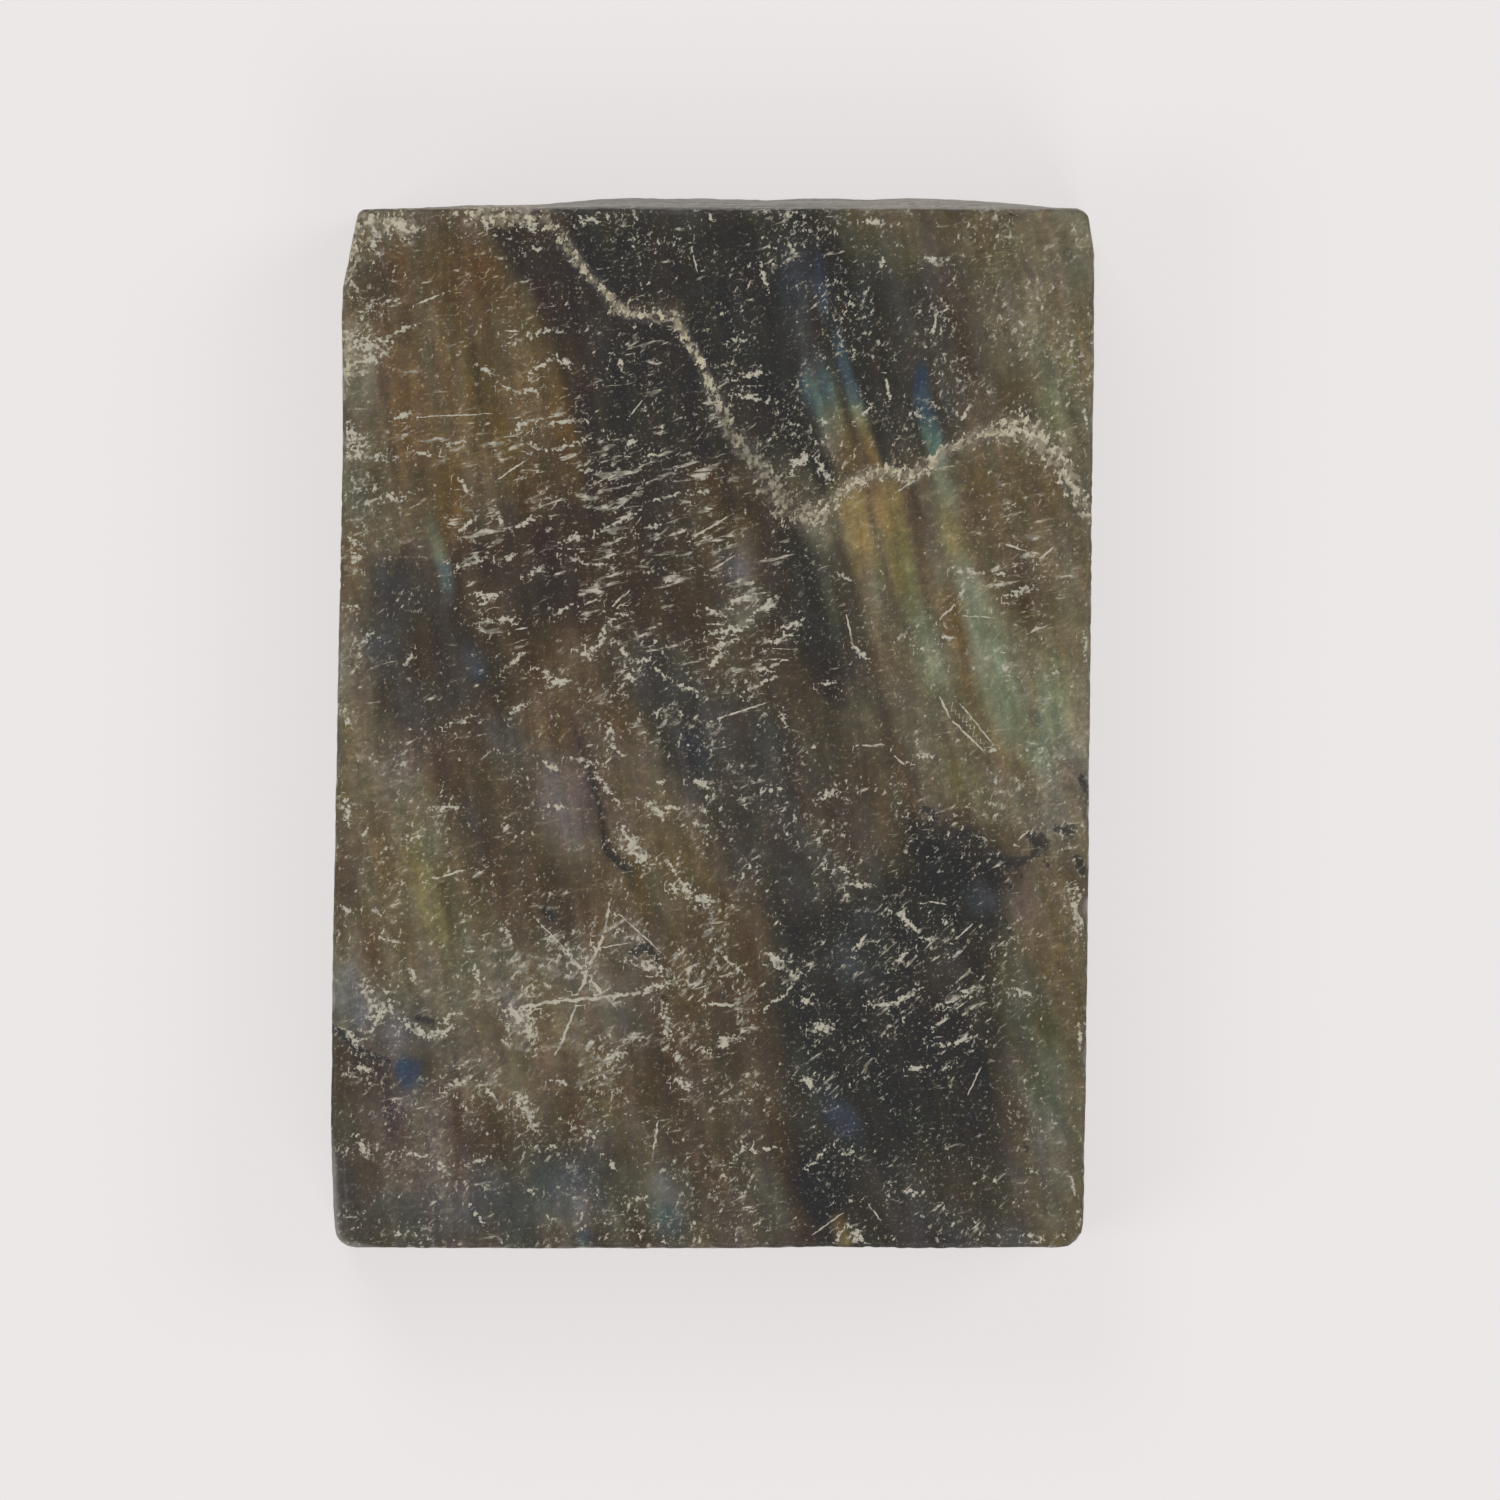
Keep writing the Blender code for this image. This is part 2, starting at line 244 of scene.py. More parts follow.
slab_mesh = bpy.data.meshes.new("labradorite_block")
block.to_mesh(slab_mesh)
slab = bpy.data.objects.new("labradorite_block", slab_mesh)
bpy.context.collection.objects.link(slab)

points = np.empty(len(slab_mesh.vertices) * 3)
slab_mesh.vertices.foreach_get("co", points)
points = points.reshape(-1, 3)
on_face = np.arange(len(points)) < len(face_net)
wall_out = np.zeros_like(points)
for vert, direction in outward.items():
    wall_out[vert.index] = direction
block.free()


# The stone's colour.
# Labradorite is dark grey-brown feldspar. Light thrown back by thin layers inside it, the lamellae,
# gives leaning streaks of gold, green, teal and blue. Patches and streaks are laid in like washes.

# Looks of the stone under the studio light, as 8-bit red, green and blue.
BLACK = (34, 34, 33)
CHARCOAL = (47, 45, 41)
UMBER = (53, 46, 41)
SLATE = (53, 53, 53)
DEEP_BLUE = (50, 54, 63)
BLUE = (60, 73, 84)
FLASH_BLUE = (46, 58, 78)
BLUE_GREY = (71, 73, 75)
ASH = (80, 79, 77)
TEAL = (77, 91, 90)
MINT = (88, 111, 97)
MOSS = (90, 94, 75)
DARK_BROWN = (61, 52, 43)
BROWN = (69, 58, 46)
RED_BROWN = (78, 65, 53)
ROSE_BROWN = (92, 79, 68)
GREY = (66, 62, 56)
OLIVE_GREY = (83, 81, 69)
OLIVE_BROWN = (80, 71, 56)
GOLD_BROWN = (92, 75, 52)
OLIVE = (95, 86, 67)
OCHRE = (102, 87, 62)
PALE_OLIVE = (107, 100, 79)
YELLOW_GREEN = (113, 106, 72)
GOLD = (130, 113, 74)
SAGE = (111, 113, 89)
PALE_SAGE = (120, 122, 99)
LILAC_GREY = (99, 91, 88)
TAN = (110, 102, 86)
SILVER = (115, 112, 105)

# Patches: shade, strength, softness of the edge, and corners (x, y).
PATCHES = (
    (PALE_OLIVE, 0.6, 1.4, (-11.6, 15.8), (-8.6, 15.8), (-9.2, 13.4), (-9.5, 10.4), (-9, 7.4), (-8.6, 5.2),
     (-9.6, 4.2), (-10, 0), (-11.6, 0)),
    (OLIVE, 0.55, 1, (-9.4, 15.8), (-4.2, 15.8), (-4.8, 14.4), (-6.4, 13.9), (-9, 13.9)),
    (GOLD_BROWN, 1, 0.9, (-9.5, 13.7), (-8, 14.2), (-6.7, 13.9), (-5.6, 12.8), (-4.9, 11.6), (-4.25, 10),
     (-3.85, 8.2), (-3.45, 6.6), (-4.6, 6), (-6.4, 5.8), (-8.2, 5.3), (-9, 6.6), (-9.5, 9), (-9.7, 11.6)),
    (UMBER, 0.95, 0.5, (-6.6, 14.6), (-4.9, 14.9), (-3.6, 13.4), (-2.4, 12), (-0.6, 11.4), (0.6, 9),
     (1.6, 7.4), (-0.2, 7), (-1.6, 6.6), (-3, 6.2), (-3.6, 6.6), (-3.9, 8.2), (-4.25, 10), (-4.85, 11.6),
     (-5.5, 12.9), (-6.1, 13.8)),
    (CHARCOAL, 0.85, 1.2, (-3, 11.9), (-1, 11.6), (0.4, 9.2), (1.4, 7.8), (-1.2, 6.8), (-2.8, 6.6),
     (-3.3, 8.8)),
    (CHARCOAL, 1, 0.7, (-4.9, 15.8), (8, 15.8), (7.4, 13), (7.3, 10.6), (7.2, 8.2), (5.4, 7.3), (3.2, 6.4),
     (2.2, 6.3), (0.6, 8.4), (-0.5, 10.7), (-0.9, 11.9), (-2.7, 12.1), (-3.9, 13.5)),
    (GREY, 0.85, 1.8, (3.8, 15.8), (8.4, 15.8), (8.2, 12), (7.6, 8.8), (6.6, 7.8), (5.4, 7.7), (5.2, 9.4),
     (5, 11.4), (4.4, 13.4)),
    (OLIVE, 0.8, 1.6, (2.6, 15.9), (8.4, 15.9), (8.2, 13.2), (5.8, 13), (4.2, 13.4)),
    (GREY, 0.7, 1, (-4.6, 15.9), (2.6, 15.9), (2.4, 14.3), (-3.4, 14.3)),
    (OLIVE, 0.75, 1.4, (7.4, 15.8), (11.6, 15.8), (11.6, 6), (10.3, 7.7), (9.2, 9), (8, 8.9), (7.3, 8.5),
     (7.5, 11), (7.6, 13)),
    (PALE_OLIVE, 0.7, 1.6, (8.6, 15.8), (11.6, 15.8), (11.6, 6), (9.6, 8.8), (9, 11), (8.3, 13)),
    (OLIVE, 1, 0.5, (6.6, 7.6), (7.6, 8.3), (8.8, 8.5), (9.7, 7.8), (10.3, 6.8), (11.6, 5.4), (11.6, 2.4),
     (8.7, 2.4), (7.9, 4.2), (7.2, 5.8)),
    (OLIVE, 0.95, 0.9, (2.8, 5.8), (3.6, 6.9), (4.8, 7.3), (5.8, 7.3), (6.8, 7.8), (7.8, 5.2), (8.8, 2.4),
     (9.2, -0.6), (6.2, -0.8), (4.4, 0), (3.8, 3.4)),
    (PALE_OLIVE, 0.9, 1.4, (7.8, 2.8), (11.6, 2.8), (11.6, -4), (9.2, -3.4), (7.4, -2.6), (5.2, -2.2),
     (5.2, -0.4), (7, 0.4)),
    (OLIVE_BROWN, 0.8, 1.6, (3.6, 1.8), (5.4, 1), (5.6, -2.8), (4.6, -3.6), (2.8, -3), (2.6, -0.6)),
    (BROWN, 0.9, 1, (-7.8, 5), (-5.6, 5.9), (-3.9, 6.6), (-1.4, 7), (1, 7.6), (2.4, 6.4), (2.4, 2.4),
     (2, -0.6), (-1, 2), (-2.6, 2.4), (-4.2, 2.2), (-5.2, 1), (-6.6, -0.8), (-8.2, -0.2), (-8.6, 3)),
    (UMBER, 0.65, 1.4, (-7.6, 4.6), (-5.8, 5.6), (-3.6, 6.6), (-1.4, 7.2), (-0.6, 5.6), (-1.4, 3.4),
     (-3.4, 3), (-5.6, 2.6)),
    (GREY, 0.9, 1, (-9.8, 4.7), (-8.6, 5.2), (-7.9, 4.4), (-7.2, 2.6), (-6.8, 0.6), (-8, -0.6),
     (-9.3, -0.4), (-9.7, 1.4), (-10, 2.8)),
    (GREY, 0.9, 1.6, (-2.2, 2.8), (-0.6, 2.4), (0.6, 0.8), (2.4, 0), (4, -2.4), (4.8, -4.8), (2, -5.6),
     (0.4, -4.8), (-0.6, -2.6), (-1.8, -0.2)),
    (OLIVE, 0.7, 1.2, (-3.4, 0.6), (-2.2, 0.2), (-1, -2.2), (0.2, -4.4), (-0.8, -5.6), (-3.2, -5.4)),
    (OLIVE, 1, 1.2, (-11.6, 0), (-9.4, -0.2), (-8.4, -1.2), (-7.6, -2.6), (-6.8, -4.2), (-6.2, -6),
     (-6.2, -8.4), (-8.4, -8.6), (-10, -7.6), (-11.6, -7.2)),
    (TAN, 0.55, 2, (-8.6, -6.6), (-2.6, -5.6), (-1.4, -7.4), (-2.4, -9.8), (-5.4, -10.8), (-8.4, -9.8)),
    (GOLD_BROWN, 0.3, 2, (-2, -4.6), (0.6, -4.8), (1.7, -6), (1.6, -9), (0, -10), (-1.4, -9)),
    (OLIVE_GREY, 0.6, 1.8, (0.4, -12.6), (2.2, -12.6), (3.2, -15.8), (-0.8, -15.8)),
    (GREY, 0.4, 1.8, (-11.6, -9.6), (-9.4, -9.8), (-7.6, -11), (-6.4, -12.4), (-5, -11.6), (-2.8, -11.6),
     (-1.9, -13.4), (-0.8, -15.8), (-11.6, -15.8)),
    (ROSE_BROWN, 0.95, 1.4, (-9.9, -10.9), (-7.6, -10.7), (-7.2, -13.4), (-8.2, -14.3), (-9.8, -13.8)),
    (BROWN, 0.8, 1.8, (0.4, -7.6), (3, -7.4), (3.4, -15.8), (0.8, -15.8), (-0.2, -12.4), (0.2, -9.8)),
    (CHARCOAL, 1, 1.5, (1.7, -5.2), (3.4, -4.8), (4.9, -4.4), (5.6, -2.9), (7.2, -3.3), (8.6, -4.4),
     (8.7, -5.6), (8.4, -7), (8.5, -9.8), (8.5, -12.8), (8.7, -15.8), (2.9, -15.8), (2.5, -13.2),
     (2.3, -10.6), (1.8, -8)),
    (GREY, 0.6, 1.8, (3.8, -12.9), (8.5, -12.5), (8.8, -15.8), (3.9, -15.8)),
    (OLIVE, 0.95, 1.8, (8.9, -3.6), (11.6, -3.2), (11.6, -15.8), (9, -15.8), (9.1, -12.6), (8.8, -9.6),
     (8.4, -7), (8.8, -5.4)),
    (OLIVE_GREY, 0.8, 1.8, (8.6, -7), (10.4, -7.4), (10.6, -12.6), (10, -14.4), (8.9, -13.6)),
)

# Streaks: strength, softness of the edge in half widths, fade at the ends, and places (x, y, half
# width, shade). A place that names no shade keeps the one before it.
STREAKS = (
    # top left, gold behind thin dark lamellae
    (0.6, 2, 1.6, (-6.5, 13.3, 0.4, GOLD_BROWN), (-5.7, 11.6, 0.5, OCHRE), (-5.3, 9.2, 0.4, GOLD_BROWN)),
    (0.6, 2, 1.6, (-8.3, 12.4, 0.5, OCHRE), (-7.8, 9.6, 0.7), (-7.2, 7, 0.5)),
    (0.5, 2, 1.2, (-10.4, 12.2, 0.4, OLIVE), (-10.3, 9.6, 0.6, TAN), (-10.3, 8, 0.4, OLIVE)),
    (0.9, 2, 0.6, (-9.95, 13.5, 0.35, BROWN), (-9.65, 12.7, 0.4, DARK_BROWN), (-9.65, 11.7, 0.35, BROWN)),
    (0.5, 2, 0.8, (-7.4, 14.6, 0.3, LILAC_GREY), (-6.9, 13.7, 0.3)),
    (0.5, 2, 0.8, (-9.2, 14.6, 0.4, OLIVE), (-8.4, 14, 0.4, OCHRE)),
    (0.45, 1.6, 1.2, (-7.1, 12.2, 0.05, BROWN), (-6.85, 10.2, 0.11, DARK_BROWN), (-6.55, 8.2, 0.09, BROWN),
     (-6.2, 7.2, 0.05)),
    (0.35, 1.6, 0.8, (-8.2, 11.6, 0.07, BROWN), (-7.9, 10, 0.08)),
    (0.45, 1.6, 1, (-9.7, 10.8, 0.08, BROWN), (-9.35, 8.4, 0.11, DARK_BROWN), (-9.05, 6.4, 0.1, BROWN)),
    (0.3, 1.6, 1, (-5.25, 12.4, 0.06, BROWN), (-4.75, 10.4, 0.08)),
    (0.6, 2, 0.8, (-4.7, 11.8, 0.3, BROWN), (-4.3, 10.7, 0.35), (-4.1, 9.6, 0.3)),
    (0.75, 2, 1.2, (-5.2, 8.8, 0.5, GOLD_BROWN), (-4.8, 7.2, 0.8, BROWN), (-4.6, 6, 0.8, DARK_BROWN)),
    (0.4, 2, 1, (-10.4, 13, 0.5, OLIVE_BROWN), (-10.2, 11.6, 0.5)),
    # left edge
    (0.8, 2, 0.8, (-10.6, 7.8, 0.5, TAN), (-10.2, 6.5, 0.6, OLIVE_GREY), (-9.9, 5.2, 0.5, OLIVE)),
    (0.6, 2, 0.8, (-8.7, 7.4, 0.3, OLIVE), (-8.3, 6.2, 0.35), (-8, 5.4, 0.25, OLIVE_GREY)),
    (0.95, 1.5, 0.7, (-8.25, 6, 0.16, MOSS), (-7.92, 5.1, 0.22, SAGE), (-7.78, 4.6, 0.2, TEAL),
     (-7.68, 4.1, 0.18), (-7.6, 3.6, 0.15, BLUE_GREY), (-7.45, 2.9, 0.1, SLATE)),
    (0.6, 2, 0.6, (-9.5, 4.4, 0.4, BLUE_GREY), (-9.2, 3.5, 0.5, SLATE)),
    (1, 2, 1, (-10.8, 3.8, 0.4, TAN), (-10.5, 2, 0.5), (-10.4, 0.2, 0.5), (-10.1, -1.8, 0.7)),
    (0.6, 2, 0.5, (-9.8, 2.6, 0.35, BLUE_GREY), (-9.4, 2, 0.35)),
    (0.6, 2, 0.8, (-8.5, 4, 0.3, GREY), (-8.4, 2.4, 0.5, DARK_BROWN), (-8.2, 1, 0.5)),
    (0.7, 2, 0.4, (-7.25, 2.4, 0.22, SLATE), (-7, 1.8, 0.28, BLUE_GREY), (-6.75, 1.35, 0.26, BLUE),
     (-6.55, 1, 0.2, SLATE)),
    (0.6, 2, 0.8, (-10.5, -0.2, 0.5, SAGE), (-9.7, -0.6, 0.5, OLIVE)),
    (0.5, 2, 0.8, (-9.5, 1.2, 0.25, BROWN), (-9.3, 0.4, 0.3)),
    # brown middle left
    (0.8, 2, 1.2, (-3.4, 7.2, 0.7, UMBER), (-2.2, 6.2, 1), (-1.2, 5.2, 0.7, DARK_BROWN)),
    (0.6, 2, 1, (-6.6, 6.4, 0.5, BROWN), (-5.8, 5.4, 0.6, DARK_BROWN)),
    (0.35, 2, 0.6, (-6.7, 3.9, 0.4, OLIVE_BROWN), (-5.9, 2.8, 0.5)),
    (0.7, 2, 0.4, (-7, -1.8, 0.3, ROSE_BROWN), (-6.8, -3, 0.35)),
    (0.7, 1.6, 0.4, (-4.15, 0.3, 0.05, DARK_BROWN), (-3.6, -1.4, 0.1, UMBER), (-3.25, -2.6, 0.13),
     (-3.1, -3.7, 0.14, CHARCOAL), (-2.3, -4.4, 0.16)),
    (0.6, 2, 0.3, (-2.95, -2.5, 0.25, LILAC_GREY), (-2.6, -3.3, 0.3)),
    (0.5, 2, 0.6, (-5.3, 4.9, 0.4, DARK_BROWN), (-4.6, 3.8, 0.5, UMBER)),
    (0.7, 2, 1, (-5.2, 2, 0.35, BROWN), (-4.9, 0.8, 0.5, ROSE_BROWN), (-4.6, -0.5, 0.5, GOLD_BROWN),
     (-4.4, -1.3, 0.3, ROSE_BROWN)),
    (0.95, 2, 1, (-5, -0.9, 0.4, LILAC_GREY), (-4.5, -2, 0.65), (-4.1, -3.2, 0.5),
     (-3.7, -4.1, 0.35, TAN)),
    (0.6, 2, 0.6, (-6.5, 0.3, 0.4, GREY), (-5.9, -0.8, 0.5, BLUE_GREY), (-5.6, -1.9, 0.35, OLIVE_GREY)),
    (0.25, 2, 0.9, (-4.5, 1.2, 0.16, TAN), (-3.4, 2.2, 0.14), (-2.3, 3.2, 0.1, OLIVE)),
    (0.7, 2, 0.8, (-3.5, 1.3, 0.4, BROWN), (-3.1, 0, 0.5, ROSE_BROWN), (-2.8, -1.4, 0.4, LILAC_GREY)),
    (0.6, 2, 0.9, (-4, 0.2, 0.12, DARK_BROWN), (-3.6, -1.2, 0.18, UMBER), (-3.25, -2.6, 0.2),
     (-3.05, -3.7, 0.14, DARK_BROWN)),
    (0.9, 2, 1, (-8.5, -0.1, 0.4, RED_BROWN), (-7.5, -1.4, 0.55), (-6.8, -2.8, 0.55, BROWN),
     (-6.2, -4.2, 0.7), (-5.6, -5.8, 0.7, RED_BROWN)),
    (0.5, 2, 0.8, (-9, -0.6, 0.4, ROSE_BROWN), (-8.5, -1.7, 0.4, LILAC_GREY)),
    (0.5, 2, 0.6, (-7.2, -2.2, 0.16, BLUE_GREY), (-6.8, -3.2, 0.16, GREY)),
    (0.6, 2, 0.8, (-5, -3.9, 0.4, BROWN), (-4.6, -5.4, 0.5), (-4.4, -6.4, 0.4, RED_BROWN)),
    (0.5, 2, 0.8, (-3.6, -4.6, 0.35, OCHRE), (-3.2, -6, 0.4, GOLD_BROWN)),
    (0.5, 2, 0.6, (-2.4, -3, 0.35, TAN), (-2, -4.2, 0.4, OLIVE)),
    (0.6, 2, 0.6, (-1.4, -3.2, 0.4, OLIVE), (-0.9, -4.6, 0.5, OCHRE)),
    # olive left
    (0.65, 2, 1.2, (-9, -2.6, 0.3, PALE_OLIVE), (-8.5, -4.4, 0.5, YELLOW_GREEN), (-8, -5.8, 0.45),
     (-7.5, -7.2, 0.35, PALE_OLIVE)),
    (0.7, 2, 1, (-9.8, -3, 0.4, OCHRE), (-9.4, -4.6, 0.5), (-9.2, -6.4, 0.5)),
    (0.6, 2, 0.8, (-10.2, -1.2, 0.5, PALE_OLIVE), (-9.5, -2.2, 0.5)),
    (0.5, 2, 0.8, (-10.7, -3.4, 0.4, RED_BROWN), (-10.6, -5.4, 0.4)),
    (0.5, 1.6, 0.6, (-8.1, -4, 0.1, GOLD_BROWN), (-7.65, -5.4, 0.14, BROWN),
     (-7.2, -6.8, 0.1, OLIVE_BROWN)),
    (0.6, 2, 0.8, (-7.4, -3.9, 0.3, OLIVE), (-7, -5.4, 0.35, OCHRE), (-6.6, -6.8, 0.35, OLIVE)),
    # scratched ground, lower left
    (0.5, 2, 0.7, (-6, -7.2, 0.6, TAN), (-5.2, -8.4, 0.8, OLIVE), (-4, -9.4, 0.7, TAN)),
    (0.5, 2, 0.6, (-6, -8.3, 0.4, SILVER), (-5.2, -8.5, 0.4)),
    (0.5, 2, 0.6, (-4.4, -6.4, 0.3, TAN), (-3.6, -7.3, 0.4), (-3, -8.1, 0.3)),
    (0.5, 2, 0.6, (-4.4, -9.2, 0.4, TAN), (-3.8, -7.6, 0.35), (-3.2, -6.2, 0.3)),
    (0.6, 2, 0.5, (-2.5, -6.2, 0.4, LILAC_GREY), (-1.4, -6.6, 0.35)),
    (0.6, 2, 0.6, (-2.4, -8.2, 0.4, OLIVE_BROWN), (-1.8, -9.4, 0.5, BROWN)),
    (0.5, 2, 0.8, (-3.4, -8.4, 0.35, OLIVE_BROWN), (-3, -9.8, 0.4)),
    (0.5, 2, 1.2, (-0.6, -6, 0.5, GOLD_BROWN), (0.1, -7.8, 0.7), (0.5, -9.2, 0.5, BROWN)),
    (0.5, 2, 1.2, (0, -6.4, 0.6, BROWN), (0.4, -8.2, 0.7), (0.6, -10, 0.6)),
    (0.85, 2, 0.8, (1.1, -12.8, 0.6, OLIVE_GREY), (1.6, -14.2, 0.8), (1.8, -15.2, 0.8)),
    (0.7, 2, 0.8, (-1.2, -9, 0.4, BROWN), (-0.9, -10.4, 0.5), (-0.2, -11.6, 0.4)),
    (0.5, 2, 0.8, (1, -9.6, 0.4, BROWN), (1.4, -11.2, 0.5, OLIVE_BROWN)),
    (0.6, 2, 0.8, (-2.6, -11, 0.4, OLIVE), (-1.8, -12.2, 0.5), (-1.2, -12.8, 0.3, OLIVE_BROWN)),
    # middle
    (0.8, 2, 0.9, (-1.6, 1.8, 0.6, GREY), (-0.9, 0.2, 0.9, SLATE), (-0.5, -0.9, 0.8), (-0.2, -1.8, 0.5)),
    (0.4, 2, 0.6, (-0.8, -0.2, 0.35, DEEP_BLUE), (-0.4, -1.2, 0.35)),
    (0.5, 2, 0.7, (-2.2, 2.4, 0.3, GREY), (-1.9, 1.2, 0.4, BLUE_GREY), (-1.6, 0, 0.35, GREY)),
    (0.6, 2, 0.8, (0.3, 2.4, 0.5, OLIVE), (0.2, 1.2, 0.5, OLIVE_BROWN)),
    (0.6, 2, 0.5, (-2.1, -0.5, 0.3, LILAC_GREY), (-1.7, -1.3, 0.35)),
    (0.6, 2, 0.6, (-0.9, -2.2, 0.35, LILAC_GREY), (-0.4, -3.2, 0.4, OLIVE_BROWN)),
    (0.5, 2, 0.6, (0.6, 0.4, 0.35, RED_BROWN), (1, -0.6, 0.4, ROSE_BROWN)),
    (0.5, 2, 0.8, (1.6, -1.6, 0.5, GREY), (2, -3.6, 0.6), (2.4, -4.8, 0.4, SLATE)),
    (0.6, 2, 0.7, (2.7, -2.4, 0.4, OLIVE_BROWN), (3.3, -3.8, 0.5)),
    (0.6, 2, 0.4, (3.3, -0.8, 0.4, OLIVE_GREY), (3.5, -1.8, 0.4)),
    (0.6, 2, 0.4, (3, -4.6, 0.4, OLIVE_GREY), (3.3, -5.3, 0.4, GREY)),
    (0.5, 2, 0.6, (0.6, -2.2, 0.3, SLATE), (0.8, -3.6, 0.4, BROWN)),
    (0.85, 2, 0.3, (0.7, 5.8, 0.3, GOLD_BROWN), (0.85, 5.3, 0.4, OLIVE), (0.7, 4.7, 0.5, LILAC_GREY),
     (0.75, 4, 0.45)),
    (0.8, 2, 0.6, (1.6, 3.9, 0.3, OLIVE), (1, 3.2, 0.35, TAN), (0.2, 2.6, 0.3, OLIVE)),
    (0.5, 2, 0.8, (-0.6, 6.4, 0.4, OLIVE_BROWN), (-0.1, 5.2, 0.5)),
    (0.6, 2, 0.8, (1.2, 6.6, 0.3, DARK_BROWN), (1.6, 5.4, 0.3)),
    (0.95, 2, 1.2, (2.5, 6.6, 0.4, UMBER), (2.4, 5.2, 0.8, CHARCOAL), (2.6, 3.8, 0.95), (3.1, 2.4, 1),
     (3.5, 1.2, 0.9, UMBER), (4, 0.2, 0.6, OLIVE_BROWN)),
    (0.7, 2, 0.8, (1.6, 2.8, 0.35, BROWN), (1.9, 1.2, 0.4), (2.6, 0, 0.5)),
    (0.5, 2, 0.5, (1.1, 1.6, 0.25, ROSE_BROWN), (1.4, 0.9, 0.25)),
    (0.9, 2, 0.3, (2.6, 6, 0.3, OLIVE), (3.1, 5.6, 0.4, PALE_OLIVE), (3.4, 4.9, 0.35, OLIVE)),
    (0.5, 1.6, 0.8, (3.2, 4.6, 0.12, OLIVE_GREY), (3.4, 3.4, 0.15, MOSS), (3.7, 2.2, 0.12, OLIVE_GREY)),
    (0.8, 1.6, 0.8, (3.55, 5.4, 0.22, BROWN), (3.95, 4.1, 0.3), (4.3, 2.8, 0.25, OLIVE_BROWN)),
    (0.5, 2, 0.8, (4.2, 1.9, 0.4, OLIVE_GREY), (4.5, 0.4, 0.5), (4.7, -1.4, 0.6, OLIVE_BROWN)),
    # right, the fan of flashes
    (1, 1.3, 0.6, (3.6, 6.9, 0.3, GOLD), (4, 6.3, 0.46), (4.25, 5.2, 0.4), (4.55, 4, 0.34, PALE_OLIVE),
     (4.9, 2.6, 0.3, OLIVE), (5.1, 1.2, 0.25)),
    (0.5, 1.6, 0.5, (4.4, 7, 0.06, OLIVE_BROWN), (4.56, 5.9, 0.08), (4.85, 4.8, 0.1),
     (5.2, 3.6, 0.12, OLIVE), (5.5, 2.4, 0.14, OLIVE_BROWN)),
    (1, 1.3, 0.6, (4.9, 7.2, 0.34, GOLD), (5.05, 6.3, 0.42), (5.35, 5, 0.36, YELLOW_GREEN), (5.6, 4, 0.28),
     (5.9, 2.9, 0.34, SAGE), (6.2, 1.7, 0.38, PALE_SAGE), (6.45, 0.6, 0.36, SAGE)),
    (0.9, 1.4, 0.6, (5.65, 7.2, 0.2, BROWN), (5.82, 6.2, 0.26), (6.05, 4.9, 0.22, GOLD_BROWN),
     (6.4, 3.6, 0.2, OCHRE), (6.8, 2.4, 0.16)),
    (1, 1.4, 0.5, (6.45, 7.6, 0.2, SAGE), (6.68, 6.8, 0.32), (6.86, 6, 0.34, YELLOW_GREEN), (7.1, 5, 0.36),
     (7.3, 4.3, 0.36, SAGE)),
    (0.8, 1.6, 0.5, (7.2, 6.6, 0.16, GOLD_BROWN), (7.5, 5.4, 0.2, OCHRE)),
    (0.9, 1.4, 0.9, (6.75, 4.2, 0.2, GOLD_BROWN), (7.1, 2.6, 0.3), (7.5, 0.8, 0.28, OCHRE)),
    (1, 1.3, 0.8, (7.15, 4.8, 0.2, SAGE), (7.5, 3.9, 0.4, PALE_SAGE), (7.8, 2.9, 0.46), (8.05, 1.7, 0.5),
     (8.3, 0.6, 0.46), (8.5, -0.5, 0.3)),
    (0.6, 2, 0.9, (8.5, 3.6, 0.25, OLIVE), (8.8, 2.2, 0.35, PALE_OLIVE), (9, 0.8, 0.35)),
    (1, 2, 1, (9.8, 2.4, 0.5, PALE_OLIVE), (9.75, 0.8, 0.7, PALE_SAGE), (9.8, -0.8, 0.8),
     (10, -2.4, 0.6, TAN)),
    (0.5, 1.6, 0.8, (9.2, 1.4, 0.1, OCHRE), (9.3, -0.6, 0.14)),
    (0.5, 2, 0.8, (6.8, 0.2, 0.5, OLIVE), (6.2, -1.4, 0.6, PALE_OLIVE)),
    (0.5, 2, 1, (5.9, 3.2, 0.4, PALE_OLIVE), (6.3, 1.4, 0.6, PALE_SAGE), (6.8, -0.4, 0.6, PALE_OLIVE)),
    (0.8, 2, 0.8, (10.3, -0.6, 0.5, TAN), (10.4, -2, 0.6), (10.5, -3, 0.5)),
    (0.5, 2, 0.6, (8.1, -0.8, 0.3, OCHRE), (9, -1.8, 0.35)),
    (0.6, 2, 0.5, (7.1, -0.8, 0.4, PALE_OLIVE), (7.5, -2, 0.5)),
    (0.7, 2, 0.5, (8.7, -1.9, 0.4, PALE_OLIVE), (9.1, -3.1, 0.4)),
    (0.5, 2, 0.6, (5.7, -1.2, 0.35, OLIVE_BROWN), (6, -2.2, 0.35, OLIVE)),
    (0.85, 2, 0.8, (8.7, 5, 0.4, RED_BROWN), (9.1, 3.6, 0.6), (9.4, 2.5, 0.4, OLIVE_BROWN)),
    (0.5, 2, 0.8, (8.2, 7.6, 0.5, GOLD_BROWN), (8, 6, 0.5, OCHRE)),
    (0.5, 2, 0.8, (9.4, 7.2, 0.4, OCHRE), (10.1, 5.4, 0.5, OLIVE), (10.5, 4, 0.4)),
    # top right
